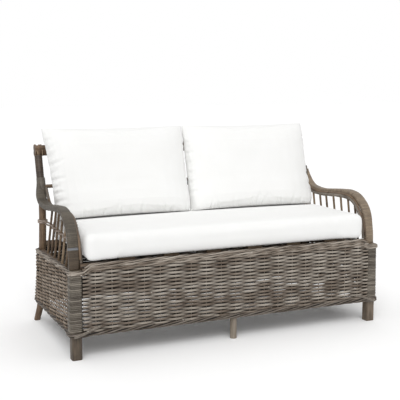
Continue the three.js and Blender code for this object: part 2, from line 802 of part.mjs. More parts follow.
function seatCushion() {
  const geometry = new THREE.BoxGeometry(2, 2, 2, 22, 12, 5);
  const place = geometry.getAttribute("position");
  const half = [seatHalfWidth, seatHalfDepth, seatCushionHeight / 2];
  for (let i = 0; i < place.count; i += 1) {
    const unit = [crowd(place.getX(i)), crowd(place.getY(i)), place.getZ(i)];
    const at = unit.map((t, k) => t * half[k]);
    const inside = half.map((v) => v - seatCushionEdge);
    const core = at.map((v, k) => THREE.MathUtils.clamp(v, -inside[k], inside[k]));
    const off = new THREE.Vector3(...at.map((v, k) => v - core[k]));
    off.setLength(seatCushionEdge);
    const [x, y, z] = [core[0] + off.x, core[1] + off.y, core[2] + off.z];
    const u = x / half[0];
    const v = y / half[1];
    const drawn = seatDrawIn * (1 - (z / half[2]) ** 2);
    const lift = (z + half[2]) / seatCushionHeight;
    place.setXYZ(
      i,
      x - Math.sign(u) * drawn * Math.max(0, 1 - v * v) * Math.abs(u) ** 8 - seatShift,
      y - Math.sign(v) * drawn * Math.max(0, 1 - u * u) * Math.abs(v) ** 8 + seatMiddleY,
      z + half[2] + cushionBottom + lift * crownAt(x - seatShift, y + seatMiddleY),
    );
  }
  return geometry;
}

add("seat_cushion", solidOf(seatCushion()), cloth);

const lean = THREE.MathUtils.degToRad(backCushionLean);
const backHalfHeight = backCushionHeight / 2;
const backMiddleZ = cushionTop + seatCrown + backHalfHeight * Math.cos(lean) - backCushionSink;
const restY = midRailY - midRailRadius - backCushionEase;
const restW = (midRailZ - backMiddleZ) / Math.cos(lean);
const backMiddleY = restY - (backCushionRear + gap) / Math.cos(lean) - restW * Math.sin(lean);

// Outline of a back cushion in its own plane. Its sides draw in between the corners, its outer side
// leans out to the top and the joint between the two cushions leans to the right
function backSeam(sign, u, w) {
  const drawn = sideDrawIn * (1 - w * w);
  const outer = sign * (backOuterFoot + (backOuterFlare * (w + 1)) / 2 - drawn) - seatShift;
  const inner = backJointLean * w - seatShift + sign * (backJointGap / 2 + drawn);
  const [left, right] = sign < 0 ? [outer, inner] : [inner, outer];
  return [left + ((right - left) * (u + 1)) / 2, w * (backHalfHeight - backDrawIn * (1 - u * u))];
}

function backCushion(sign) {
  const across = 18;
  const up = 14;
  const positions = [];
  const indices = [];
  for (const face of [1, -1]) {
    for (let j = 0; j <= up; j += 1) {
      for (let i = 0; i <= across; i += 1) {
        const u = crowd((2 * i) / across - 1);
        const w = crowd((2 * j) / up - 1);
        const [wx, h] = backSeam(sign, u, w);
        const full = (Math.max(0, 1 - u ** 4) * Math.max(0, 1 - w ** 4)) ** 0.5;
        const t = face * full * (face > 0 ? backCushionFront : backCushionRear);
        const wy = backMiddleY + h * Math.sin(lean) - t * Math.cos(lean);
        const wz = backMiddleZ + h * Math.cos(lean) + t * Math.sin(lean);
        positions.push(wx, wy, Math.max(wz, cushionTop + crownAt(wx, wy) + gap));
      }
    }
    const first = face > 0 ? 0 : (across + 1) * (up + 1);
    for (let j = 0; j < up; j += 1) {
      for (let i = 0; i < across; i += 1) {
        const a = first + j * (across + 1) + i;
        const [b, c, d] = [a + 1, a + across + 2, a + across + 1];
        if (face > 0) indices.push(a, b, c, a, c, d);
        else indices.push(a, c, b, a, d, c);
      }
    }
  }
  const geometry = new THREE.BufferGeometry();
  geometry.setAttribute("position", new THREE.BufferAttribute(new Float32Array(positions), 3));
  geometry.setIndex(indices);
  return geometry;
}

for (const { word, sign } of sides) add("back_cushion_" + word, solidOf(backCushion(sign)), cloth);

// A blank tape tab sewn into the seam of the left cushion, beside the middle gap
{
  const w = -tabDrop / backHalfHeight;
  const [x, h] = backSeam(-1, 1, w);
  const tab = new THREE.BoxGeometry(tabWidth, tabThickness, tabHeight);
  tab.rotateX(-lean);
  tab.translate(
    x + gap + tabEase + tabWidth / 2,
    backMiddleY + h * Math.sin(lean),
    backMiddleZ + h * Math.cos(lean),
  );
  add("seam_tab", tab, tape);
}

export default sofa;
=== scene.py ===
# %% [markdown]
# # A rattan garden sofa, dressed piece by piece
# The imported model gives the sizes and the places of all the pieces. It is loaded first and never moved.
# Each cell then makes one piece or one finish of the real sofa: the weave, the bound poles, the cushions.
# Everything is in metres, with X along the seat, Y from front to back and Z up.

# %% Load the model
import math
import random

import bpy
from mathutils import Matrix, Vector
from mathutils.bvhtree import BVHTree


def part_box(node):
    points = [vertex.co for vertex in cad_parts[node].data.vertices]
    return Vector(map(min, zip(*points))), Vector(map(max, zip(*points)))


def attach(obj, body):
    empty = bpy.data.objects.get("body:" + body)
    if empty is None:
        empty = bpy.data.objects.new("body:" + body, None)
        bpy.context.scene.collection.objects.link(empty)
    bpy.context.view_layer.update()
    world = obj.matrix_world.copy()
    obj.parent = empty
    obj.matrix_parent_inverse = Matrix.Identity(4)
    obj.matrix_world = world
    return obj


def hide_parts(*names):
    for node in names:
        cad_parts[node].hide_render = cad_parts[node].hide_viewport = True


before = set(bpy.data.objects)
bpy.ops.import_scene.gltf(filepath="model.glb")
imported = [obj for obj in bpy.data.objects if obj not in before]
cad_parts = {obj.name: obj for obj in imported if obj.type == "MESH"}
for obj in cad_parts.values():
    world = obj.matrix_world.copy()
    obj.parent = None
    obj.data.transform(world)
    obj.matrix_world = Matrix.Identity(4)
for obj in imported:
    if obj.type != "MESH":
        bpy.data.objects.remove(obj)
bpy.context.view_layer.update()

# %% [markdown]
# ## Camera
# The photograph was taken from the left of the sofa's middle, a little above the cushions, with a lens
# that looks slightly down. The place and the two angles were worked out from the posts and the feet.

# %% Camera
LENS_MM, SENSOR_MM = 75.24, 36.0
LOOK_DOWN, TURN_RIGHT = 7.82, 24.08      # degrees
camera_data = bpy.data.cameras.new("camera")
camera_data.lens = LENS_MM
camera_data.sensor_width = SENSOR_MM
camera = bpy.data.objects.new("camera", camera_data)
bpy.context.scene.collection.objects.link(camera)
camera.location = (-1.652, -3.653, 1.146)
camera.rotation_euler = (math.radians(90 - LOOK_DOWN), 0, math.radians(-TURN_RIGHT))
bpy.context.scene.camera = camera
print("camera at", tuple(round(v, 3) for v in camera.location))

# %% [markdown]
# ## Small helpers
# Colours are written as they look on a screen and turned to linear light by one function. One more
# function adds a shader node with its settings and links. Every finish ends in the same way, with a fine
# relief and the shader, so that end is written once. Lengths are written in millimetres.

# %% Colour and node helpers
MM = 0.001


def linear(hex_colour):
    """Screen colour as linear RGBA."""
    values = [int(hex_colour[i:i + 2], 16) / 255 for i in (1, 3, 5)]
    return tuple(v / 12.92 if v <= 0.04045 else ((v + 0.055) / 1.055) ** 2.4 for v in values) + (1.0,)


def add(tree, kind, settings=None, **inputs):
    """Adds one shader node. Inputs are values, or (node, output) pairs to link."""
    made = tree.nodes.new(kind)
    for name, value in (settings or {}).items():
        setattr(made, name, value)
    for name, value in inputs.items():
        key = int(name[1:]) if name[0] == "i" and name[1:].isdigit() else name.replace("_", " ")
        socket = made.inputs[key]
        if isinstance(value, tuple) and isinstance(value[0], bpy.types.Node):
            tree.links.new(value[0].outputs[value[1]], socket)
        else:
            socket.default_value = value
    return made


def new_look(name):
    """An empty material and its node tree."""
    look = bpy.data.materials.new(name)
    look.use_nodes = True
    look.node_tree.nodes.clear()
    return look, look.node_tree


def set_stops(ramp, first, last, *between):
    """Puts the colours of a ramp at their places, each given as (place, colour)."""
    stops = ramp.color_ramp.elements
    for stop, (place, colour) in zip(stops, (first, last)):
        stop.position, stop.color = place, linear(colour)
    for place, colour in between:
        stops.new(place).color = linear(colour)


def close_look(tree, colour, roughness, height, strength, relief_mm, specular=0.5):
    """The end of a finish: relief from a height, the shader, and the output. Gives back the shader."""
    relief = add(tree, "ShaderNodeBump", Height=height, Strength=strength, Distance=relief_mm * MM)
    skin = add(tree, "ShaderNodeBsdfPrincipled", Base_Color=colour, Roughness=roughness, Normal=(relief, 0))
    skin.inputs["Specular IOR Level"].default_value = specular
    add(tree, "ShaderNodeOutputMaterial", Surface=(skin, 0))
    return skin


print("1 mm is", MM, "m; mid grey is", round(linear("#808080")[0], 3))

# %% [markdown]
# Operators act on all that is selected, so everything is deselected before each new piece. A smooth line
# through a few measured points gives each pole its course, and it is then cut into even steps.

# %% Line helpers
def bare():
    """Deselects everything, so that an operator acts on new pieces only."""
    if bpy.context.object and bpy.context.object.mode != "OBJECT":
        bpy.ops.object.mode_set(mode="OBJECT")
    bpy.ops.object.select_all(action="DESELECT")


def point(x, y, z):
    return Vector((x, y, z)) * MM


def ease(value, low, high):
    """0 below low, 1 above high, and a soft step between."""
    t = min(max((value - low) / (high - low), 0.0), 1.0)
    return t * t * (3 - 2 * t)


def smooth_path(points, steps=12):
    """A line through all the points that bends evenly, also where they lie close together."""
    out, last = [], len(points) - 1
    for i in range(last):
        b, c = points[i], points[i + 1]
        a = points[i - 1] if i else 2 * b - c
        d = points[i + 2] if i + 2 <= last else 2 * c - b
        ab, bc, cd = (max((q - p).length ** 0.5, 1e-4) for p, q in ((a, b), (b, c), (c, d)))
        m = ((b - a) / ab - (c - a) / (ab + bc) + (c - b) / bc) * bc
        n = ((c - b) / bc - (d - b) / (bc + cd) + (d - c) / cd) * bc
        for k in range(steps):
            t = k / steps
            out.append(b + m * t + (3 * (c - b) - 2 * m - n) * t * t + (2 * (b - c) + m + n) * t ** 3)
    return out + [points[-1].copy()]


def even(path, step_mm):
    """The same line with points at even steps, both ends kept."""
    total = sum((b - a).length for a, b in zip(path, path[1:]))
    count = max(round(total / (step_mm * MM)), 2)
    out, gone, i = [path[0].copy()], 0.0, 0
    for k in range(1, count):
        goal = total * k / count
        while gone + (path[i + 1] - path[i]).length < goal:
            gone += (path[i + 1] - path[i]).length
            i += 1
        out.append(path[i].lerp(path[i + 1], (goal - gone) / (path[i + 1] - path[i]).length))
    return out + [path[-1].copy()]


print("a straight metre in steps of 250 mm has", len(even([point(0, 0, 0), point(1000, 0, 0)], 250)), "points")

# %% [markdown]
# ## Carrying an outline along lines
# Nearly every piece of a rattan sofa is a cane or a strip that follows a line. The line is drawn as a
# curve, a second small curve is its outline, and Blender carries one along the other and turns the result
# into a mesh. Three numbers are kept on the mesh for the finishes: how far along the cane a place is, the
# shade that this stretch of cane has by nature, and how deep it lies in the weave.

# %% Outline helpers
def oval(half_out, half_up, sides=8):
    """Outline of a strand, in mm: half its thickness and half its height."""
    turn = 2 * math.pi / sides
    return [(half_out * math.cos(turn * i), half_up * math.sin(turn * i)) for i in range(sides)]


def slab(half_wide, half_high, corner, steps=4):
    """Outline with rounded corners, in mm."""
    out = []
    for k, (sx, sy) in enumerate(((1, 1), (-1, 1), (-1, -1), (1, -1))):
        for i in range(steps + 1):
            a = math.radians(90 * k + 90 * i / steps)
            out.append((sx * (half_wide - corner) + corner * math.cos(a),
                        sy * (half_high - corner) + corner * math.sin(a)))
    return out


def carry_curve(name, outline):
    """A curve object with one closed line, the outline of a cane."""
    bare()
    bpy.ops.curve.primitive_bezier_circle_add()
    made = bpy.context.object
    made.name = name
    made.data.splines.clear()
    made.data.dimensions = "2D"
    edge = made.data.splines.new("POLY")
    edge.points.add(len(outline) - 1)
    edge.points.foreach_set("co", [v for x, y in outline for v in (x * MM, y * MM, 0.0, 1.0)])
    edge.use_cyclic_u = True
    return made


print("a strand's outline:", [(round(x, 1), round(y, 1)) for x, y in oval(3.0, 4.8)[:3]], "...")

# %% Carry an outline along lines
def carry(name, paths, outline, thickness=None, depth=None, closed=False, level=True, stretch=0.0, seed=1,
          smooth=62):
    """One mesh from many lines. level keeps the outline upright, stretch is how long one shade lasts (m),
    and edges sharper than smooth (degrees) stay sharp."""
    section = carry_curve("outline", outline)
    bare()
    bpy.ops.curve.primitive_nurbs_path_add()
    line = bpy.context.object
    data = line.data
    data.splines.clear()
    data.dimensions = "3D"
    data.twist_mode = "Z_UP" if level else "MINIMUM"
    data.bevel_mode = "OBJECT"
    data.bevel_object = section
    for number, path in enumerate(paths):
        spline = data.splines.new("POLY")
        spline.points.add(len(path) - 1)
        spline.points.foreach_set("co", [v for p in path for v in (p.x, p.y, p.z, 1.0)])
        spline.use_cyclic_u = closed
        if thickness:
            spline.points.foreach_set("radius", thickness[number])
    bpy.ops.object.convert(target="MESH")
    piece = bpy.context.object
    piece.name = piece.data.name = name
    bpy.data.objects.remove(section, do_unlink=True)
    write_marks(piece, paths, len(outline), depth, stretch, seed)
    bpy.ops.object.mode_set(mode="EDIT")
    bpy.ops.mesh.select_all(action="SELECT")
    if not closed:
        bpy.ops.mesh.fill_holes(sides=len(outline))
    bpy.ops.mesh.normals_make_consistent(inside=False)
    bpy.ops.object.mode_set(mode="OBJECT")
    bpy.ops.object.shade_smooth_by_angle(angle=math.radians(smooth))
    return piece


def write_marks(piece, paths, sides, depth, stretch, seed):
    """Length along, shade and depth of each ring of corners, in the order in which the curve made them."""
    dice = random.Random(seed)
    marks = {"along": [], "strand": [], "deep": []}
    for number, path in enumerate(paths):
        gone, own, limit = 0.0, dice.random(), dice.uniform(0.1, 1.0) * stretch
        for i, p in enumerate(path):
            gone += (p - path[i - 1]).length if i else 0.0
            if stretch and gone > limit:
                own, limit = dice.random(), limit + stretch * dice.uniform(0.6, 1.4)
            marks["along"] += [gone] * sides
            marks["strand"] += [own] * sides
            marks["deep"] += [depth[number][i] if depth else 0.0] * sides
    if len(marks["along"]) != len(piece.data.vertices):
        raise RuntimeError("the rings of %s are not in order" % piece.name)
    for title, values in marks.items():
        piece.data.attributes.new(title, "FLOAT", "POINT").data.foreach_set("value", values)


def finish(piece, look, body, slot, *nodes):
    """Gives a piece its finish, its body and the nodes that it stands for."""
    piece.data.materials.clear()
    piece.data.materials.append(look)
    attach(piece, body)
    if nodes:
        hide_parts(*nodes)
    return piece


print("pieces can be carried along lines")

# %% [markdown]
# ## Floor and light
# The sofa stands on a plain white floor in a white room. The room is brightest overhead, so the floor
# under the base gets little light, and one large soft lamp in front of it and above lights the faces. To
# the camera the room and the unshaded floor are white, and neither adds light to the sofa by that.

# %% Floor
FLOOR_SIDE = 80          # m, so that its edge is never seen
bare()
bpy.ops.mesh.primitive_plane_add(size=FLOOR_SIDE, location=(0, 0, 0))
floor = bpy.context.object
floor.name = "floor"
floor_look, tree = new_look("matte_white_floor")
paper = add(tree, "ShaderNodeBsdfDiffuse", Color=linear("#f4f4f4"))
bright = add(tree, "ShaderNodeBsdfDiffuse", Color=(1, 1, 1, 1))
brighter = add(tree, "ShaderNodeBsdfDiffuse", Color=(0.05, 0.05, 0.05, 1))
seen = add(tree, "ShaderNodeAddShader", i0=(bright, 0), i1=(brighter, 0))
rays = add(tree, "ShaderNodeLightPath")
mix = add(tree, "ShaderNodeMixShader", Fac=(rays, "Is Camera Ray"), i1=(paper, 0), i2=(seen, 0))
add(tree, "ShaderNodeOutputMaterial", Surface=(mix, 0))
floor.data.materials.append(floor_look)
print("floor ready")

# %% Light
HORIZON, ZENITH, LAMP = 0.24, 0.92, 1.46      # light from the sides, from overhead and from the lamp
LAMP_WAY, LAMP_WIDTH = Vector((0.30, 0.68, -0.67)), 40      # where it shines, and how wide it is in degrees
world = bpy.data.worlds.new("studio")
bpy.context.scene.world = world
world.use_nodes = True
tree = world.node_tree
tree.nodes.clear()
rays = add(tree, "ShaderNodeLightPath")
way = add(tree, "ShaderNodeTexCoord")
height = add(tree, "ShaderNodeSeparateXYZ", Vector=(way, "Generated"))
level = add(tree, "ShaderNodeMapRange", Value=(height, 2), To_Min=HORIZON, To_Max=ZENITH)
soft = add(tree, "ShaderNodeBackground", Color=(1, 1, 1, 1), Strength=(level, 0))
white = add(tree, "ShaderNodeBackground", Color=(1, 1, 1, 1), Strength=1.0)
shiny = add(tree, "ShaderNodeMath", {"operation": "MAXIMUM"}, i0=(rays, "Is Glossy Ray"),
            i1=(rays, "Is Transmission Ray"))
seen = add(tree, "ShaderNodeMath", {"operation": "MAXIMUM"}, i0=(rays, "Is Camera Ray"), i1=(shiny, 0))
mix = add(tree, "ShaderNodeMixShader", Fac=(seen, 0), i1=(soft, 0), i2=(white, 0))
add(tree, "ShaderNodeOutputWorld", Surface=(mix, 0))
bpy.context.scene.view_settings.view_transform = "Standard"
lamp_data = bpy.data.lights.new("soft_lamp", "SUN")
lamp_data.energy = LAMP
lamp_data.angle = math.radians(LAMP_WIDTH)
lamp = bpy.data.objects.new("soft_lamp", lamp_data)
bpy.context.scene.collection.objects.link(lamp)
lamp.rotation_euler = LAMP_WAY.to_track_quat("-Z", "Y").to_euler()
print("a white top face gets", round(HORIZON + (ZENITH - HORIZON) * 2 / 3 - LAMP / math.pi * LAMP_WAY.z, 2))

# %% [markdown]
# ## Sizes taken from the model
# The named sizes below are the model's own, so each new piece lies where the piece that it dresses does.

# %% Sizes
FRONT_MID, SIDE_MID, REAR_MID = -352.0, 757.2, 22.8      # middle of the weave: front, sides, behind the posts
POST_X, POST_HALF, WRAP_FRONT, WRAP_REAR, WRAP_SIDE = 739.0, 22.0, -357.0, -303.0, 770.0
BASE_LOW, BASE_TOP, REAR_TOP = 98.0, 384.0, 372.0
REAR_X, POST_Y, POST_RADIUS = 733.7, 253.0, 17.0         # rear posts, POST_Y at the top of the base
BOW_X, INNER_X, SIDE_RAIL_X = 739.0, 707.5, 734.7
ARM_FOOT, ARM_REACH, ARM_RISE = -320.0, 544.0, 228.0
SEAT_RAIL_Z, SIDE_RAIL_Z, BAND_Z, BAND_DROP, MID_RAIL_Z = 392.3, 354.3, 504.0, 28.0, 668.0
SIDES = (("left", -1), ("right", 1))
POST_AXIS = [(17, 333, 0), (0, 311, 98), (0, 282, 241), (0, 253, 384), (-1.3, 248.5, 439.1), (-2.8, 248, 500.6),
             (-3.9, 251, 549.4), (-5.1, 258.4, 600.2), (-6, 270, 640.5), (-7, 284, 680.8), (-8.4, 306, 740.2),
             (-10, 334, 808)]


def rake_y(z):
    """Axis of the rear post where it rakes below the seat."""
    return 311 - (z - BASE_LOW) * 58 / (BASE_TOP - BASE_LOW)


def post_at(z):
    """Shift outwards and depth of the rear posts' axis at a height."""
    for (x0, y0, z0), (x1, y1, z1) in zip(POST_AXIS, POST_AXIS[1:]):
        if z <= z1:
            t = (z - z0) / (z1 - z0)
            return x0 + (x1 - x0) * t, y0 + (y1 - y0) * t
    return POST_AXIS[-1][0], POST_AXIS[-1][1]


print("rear post at the seat:", [round(v, 1) for v in post_at(400)], "mm")

# %% [markdown]
# ## Finish of the weave
# The strands are rattan core, the round inside of the cane, split by a machine, smoked grey and left to
# weather. The eye sees strands of different greys with some brown ones, fine streaks along the fibre and
# a few pale spots low on the base; what lies deep in the weave is painted darker, as painted shade. Real
# pores are 0.2 mm wide, too fine for this picture, so they are drawn about 1 mm wide.

# %% Woven rattan core
PALE_SPOT_BELT = (0.205, 0.262)      # heights between which the pale spots are more frequent
NO_PALE_SPOT_BELT = (2.0, 3.0)    # above the sofa
# The first colour is that of the pale spots.
# The second colour is painted shade, laid on what lies deep in the weave.
PALE_SPOT_COLOUR, RECESS_SHADE_COLOUR = "#cdc6bc", "#17120e"


def woven_core(name, shades, scale, belt=PALE_SPOT_BELT, recess_shade=1.0):
    """shades are four colours from dark to light. scale squeezes the streaks along the fibre."""
    look, tree = new_look(name)
    place = add(tree, "ShaderNodeTexCoord")
    long_way = add(tree, "ShaderNodeMapping", Vector=(place, "Object"), Scale=scale)
    # Streaks about 40 mm long and 3 mm wide, and patches of weathering about 120 mm across
    streak = add(tree, "ShaderNodeTexNoise", Vector=(long_way, 0), Scale=170.0, Detail=3.0, Roughness=0.6)
    patch = add(tree, "ShaderNodeTexNoise", Vector=(place, "Object"), Scale=8.0, Detail=2.0, Roughness=0.5)
    own = add(tree, "ShaderNodeAttribute", {"attribute_name": "strand"})
    sum_a = add(tree, "ShaderNodeMath", {"operation": "MULTIPLY_ADD"}, i0=(own, "Fac"), i1=0.5, i2=-0.42)
    sum_b = add(tree, "ShaderNodeMath", {"operation": "MULTIPLY_ADD"}, i0=(streak, 0), i1=0.75, i2=(sum_a, 0))
    sum_c = add(tree, "ShaderNodeMath", {"operation": "MULTIPLY_ADD"}, i0=(patch, 0), i1=0.60, i2=(sum_b, 0))
    ramp = add(tree, "ShaderNodeValToRGB", Fac=(sum_c, 0))
    set_stops(ramp, (0.08, shades[0]), (0.95, shades[3]), (0.32, shades[1]), (0.58, shades[2]))
    # Pale spots about 8 mm across, more of them between the two heights of belt
    spot = add(tree, "ShaderNodeTexNoise", Vector=(place, "Object"), Scale=75.0, Detail=1.0, Roughness=0.5)
    height = add(tree, "ShaderNodeSeparateXYZ", Vector=(place, "Object"))
    low, high = belt
    up = add(tree, "ShaderNodeMapRange", Value=(height, 2), From_Min=low - 0.03, From_Max=low + 0.01,
             To_Max=0.014)
    down = add(tree, "ShaderNodeMapRange", Value=(height, 2), From_Min=high - 0.01, From_Max=high + 0.03,
               To_Max=0.014)
    between = add(tree, "ShaderNodeMath", {"operation": "SUBTRACT"}, i0=(up, 0), i1=(down, 0))
    more = add(tree, "ShaderNodeMath", {"operation": "ADD"}, i0=(spot, 0), i1=(between, 0))
    spot_edge = add(tree, "ShaderNodeMapRange", Value=(more, 0), From_Min=0.74, From_Max=0.80)
    spotted = add(tree, "ShaderNodeMix", {"data_type": "RGBA"}, Factor=(spot_edge, 0), A=(ramp, 0),
                 B=linear(PALE_SPOT_COLOUR))
    # Painted shade where a strand passes behind its stake, darker the deeper it lies
    deep = add(tree, "ShaderNodeAttribute", {"attribute_name": "deep"})
    recess_shade_mix = add(tree, "ShaderNodeMath", {"operation": "MULTIPLY"}, i0=(deep, "Fac"), i1=recess_shade)
    colour = add(tree, "ShaderNodeMix", {"data_type": "RGBA"}, Factor=(recess_shade_mix, 0), A=(spotted, 2), B=linear(RECESS_SHADE_COLOUR))
    pore = add(tree, "ShaderNodeTexNoise", Vector=(long_way, 0), Scale=520.0, Detail=2.0, Roughness=0.6)
    gloss = add(tree, "ShaderNodeMapRange", Value=(streak, 0), To_Min=0.52, To_Max=0.74)
    close_look(tree, (colour, 2), (gloss, 0), (pore, 0), 0.35, 0.5, 0.30)
    return look


FIBRE_X, FIBRE_Y, FIBRE_Z = (0.08, 1.0, 1.0), (1.0, 0.08, 1.0), (1.0, 1.0, 0.08)
core_x = woven_core("smoked_rattan_core_front", ("#54463a", "#7b6f63", "#978e83", "#b9b0a5"), FIBRE_X)
# The side weave is the same as the front, its colours painted darker and browner as shade on the sides.
side_core_painted_shade = woven_core("smoked_rattan_core_side_painted_shade", ("#524232", "#746352", "#8e7f70", "#aea090"), FIBRE_Y)
core_z = woven_core("rattan_stake", ("#575047", "#736b62", "#8a8278", "#a39b90"), FIBRE_Z, recess_shade=0.3)
rope_x = woven_core("smoked_rattan_border", ("#54473b", "#7b6f63", "#998f84", "#bdb4a8"), FIBRE_X,
                    NO_PALE_SPOT_BELT)
rope_low = woven_core("smoked_rattan_foot_border", ("#3d332b", "#584e44", "#6e655c", "#8b8279"), FIBRE_X,
                      NO_PALE_SPOT_BELT)
band_core = woven_core("pale_rattan_band", ("#6a5b50", "#8f8176", "#a8998e", "#c2b5aa"), FIBRE_Y, recess_shade=0.0)
print("woven finishes:", [m.name for m in bpy.data.materials if "rattan" in m.name])

# %% [markdown]
# ## Finish of the bound pieces
# The arms, the top rail, the corners and the rear posts are bound with rattan peel, the flat glossy skin of
# the cane, about 7 mm wide. Each turn has its own shade, and a dark line lies between two turns. The turns
# are counted by the length along the piece, so the bands follow every bend.

# %% Rattan peel
PEEL_MM = 7.2            # width of one turn of the peel


def bound_peel(name, shades, band_mm=PEEL_MM, line=0.75, fibre=(1.0, 1.0, 1.0), foot=None, uneven=0.26):
    """shades are dark, middle and light. line is how dark the lines between the turns are, and uneven how
    much the turns differ. foot, if given, is (length, shade, pale) of a browner lower end."""
    look, tree = new_look(name)
    place = add(tree, "ShaderNodeTexCoord")
    along = add(tree, "ShaderNodeAttribute", {"attribute_name": "along"})
    own = add(tree, "ShaderNodeAttribute", {"attribute_name": "strand"})
    turns = add(tree, "ShaderNodeMath", {"operation": "DIVIDE"}, i0=(along, "Fac"), i1=band_mm * MM)
    number = add(tree, "ShaderNodeMath", {"operation": "FLOOR"}, i0=(turns, 0))
    part = add(tree, "ShaderNodeMath", {"operation": "FRACT"}, i0=(turns, 0))
    seed = add(tree, "ShaderNodeMath", {"operation": "MULTIPLY_ADD"}, i0=(own, "Fac"), i1=97.0, i2=(number, 0))
    shade = add(tree, "ShaderNodeTexWhiteNoise", {"noise_dimensions": "1D"}, W=(seed, 0))
    # Fibres of the peel run round the piece; drawn about 2 mm wide
    long_way = add(tree, "ShaderNodeMapping", Vector=(place, "Object"), Scale=fibre)
    grain = add(tree, "ShaderNodeTexNoise", Vector=(long_way, 0), Scale=210.0, Detail=3.0, Roughness=0.6)
    cloud = add(tree, "ShaderNodeTexNoise", Vector=(place, "Object"), Scale=14.0, Detail=3.0, Roughness=0.6)
    sum_a = add(tree, "ShaderNodeMath", {"operation": "MULTIPLY_ADD"}, i0=(shade, 0), i1=uneven,
                i2=-0.11 - uneven / 2)
    sum_b = add(tree, "ShaderNodeMath", {"operation": "MULTIPLY_ADD"}, i0=(grain, 0), i1=0.55, i2=(sum_a, 0))
    sum_c = add(tree, "ShaderNodeMath", {"operation": "MULTIPLY_ADD"}, i0=(cloud, 0), i1=0.62, i2=(sum_b, 0))
    ramp = add(tree, "ShaderNodeValToRGB", Fac=(sum_c, 0))
    set_stops(ramp, (0.15, shades[0]), (0.85, shades[2]), (0.48, shades[1]))
    surface = (ramp, 0)
    if foot:
        end, tint, pale = foot
        low = add(tree, "ShaderNodeMath", {"operation": "LESS_THAN"}, i0=(along, "Fac"), i1=end)
        brown = add(tree, "ShaderNodeMix", {"data_type": "RGBA", "blend_type": "MULTIPLY"}, Factor=(low, 0),
                    A=surface, B=linear(tint))
        off = add(tree, "ShaderNodeMath", {"operation": "COMPARE"}, i0=(along, "Fac"), i1=end + 0.007, i2=0.005)
        worn = add(tree, "ShaderNodeMix", {"data_type": "RGBA"}, Factor=(off, 0), A=(brown, 2), B=linear(pale))
        surface = (worn, 2)
    # The line between two turns, about 1 mm wide
    edge = add(tree, "ShaderNodeMath", {"operation": "LESS_THAN"}, i0=(part, 0), i1=0.16)
    dark = add(tree, "ShaderNodeMath", {"operation": "MULTIPLY"}, i0=(edge, 0), i1=line)
    colour = add(tree, "ShaderNodeMix", {"data_type": "RGBA"}, Factor=(dark, 0), A=surface, B=linear(shades[0]))
    close_look(tree, (colour, 2), 0.5, (grain, 0), 0.3, 0.5, 0.35)
    return look


peel_left = bound_peel("smoked_rattan_peel_olive", ("#35302a", "#544d43", "#6e665a"),
                       foot=(0.078, "#e8dacd", "#74767a"))
peel_right = bound_peel("smoked_rattan_peel_tan", ("#5b4e41", "#877866", "#a3947f"))
peel_rail = bound_peel("smoked_rattan_peel_brown", ("#43352a", "#6e5845", "#8b745d"), fibre=(0.2, 1, 1))
peel_post = bound_peel("smoked_rattan_peel_dark", ("#28201b", "#433830", "#645649"), band_mm=9.0, line=0.5,
                       fibre=(1, 1, 0.25))
peel_joint = bound_peel("smoked_rattan_peel_grey", ("#403b34", "#5b554c", "#756e64"), line=0.45)
ONE_TURN = 5000.0        # longer than any loop, so that a corner loop has one shade and no line across it
peel_corner = bound_peel("smoked_rattan_peel_corner", ("#4a433b", "#6d665c", "#8a8277"), band_mm=ONE_TURN,
                         line=0.0, fibre=(0.25, 0.25, 1.6), uneven=0.75)
print("peel finishes:", [m.name for m in bpy.data.materials if "peel" in m.name])

# %% [markdown]
# ## Finish of the bare poles
# Where a pole is not bound, the skin of the whole cane shows: tan to dark brown, satin, with long dark
# streaks and a ring at each node. The streaks are stretched noise, squeezed along the pole.

# %% Bare cane
def bare_cane(name, shades, scale, roughness=0.46):
    """shades are dark, middle and light. scale squeezes the streaks along the cane."""
    look, tree = new_look(name)
    place = add(tree, "ShaderNodeTexCoord")
    long_way = add(tree, "ShaderNodeMapping", Vector=(place, "Object"), Scale=scale)
    # Streaks about 60 mm long and 4 mm wide
    streak = add(tree, "ShaderNodeTexNoise", Vector=(long_way, 0), Scale=150.0, Detail=4.0, Roughness=0.65)
    patch = add(tree, "ShaderNodeTexNoise", Vector=(place, "Object"), Scale=16.0, Detail=2.0, Roughness=0.5)
    own = add(tree, "ShaderNodeAttribute", {"attribute_name": "strand"})
    sum_a = add(tree, "ShaderNodeMath", {"operation": "MULTIPLY_ADD"}, i0=(own, "Fac"), i1=0.42, i2=-0.46)
    sum_b = add(tree, "ShaderNodeMath", {"operation": "MULTIPLY_ADD"}, i0=(streak, 0), i1=1.05, i2=(sum_a, 0))
    sum_c = add(tree, "ShaderNodeMath", {"operation": "MULTIPLY_ADD"}, i0=(patch, 0), i1=0.45, i2=(sum_b, 0))
    ramp = add(tree, "ShaderNodeValToRGB", Fac=(sum_c, 0))
    set_stops(ramp, (0.12, shades[0]), (0.88, shades[2]), (0.46, shades[1]))
    ring = add(tree, "ShaderNodeAttribute", {"attribute_name": "deep"})
    shadow = add(tree, "ShaderNodeMath", {"operation": "MULTIPLY"}, i0=(ring, "Fac"), i1=0.7)
    colour = add(tree, "ShaderNodeMix", {"data_type": "RGBA"}, Factor=(shadow, 0), A=(ramp, 0),
                 B=linear(shades[0]))
    pore = add(tree, "ShaderNodeTexNoise", Vector=(long_way, 0), Scale=600.0, Detail=2.0)
    gloss = add(tree, "ShaderNodeMapRange", Value=(streak, 0), To_Min=roughness - 0.08, To_Max=roughness + 0.14)
    close_look(tree, (colour, 2), (gloss, 0), (pore, 0), 0.25, 0.4, 0.4)
    return look


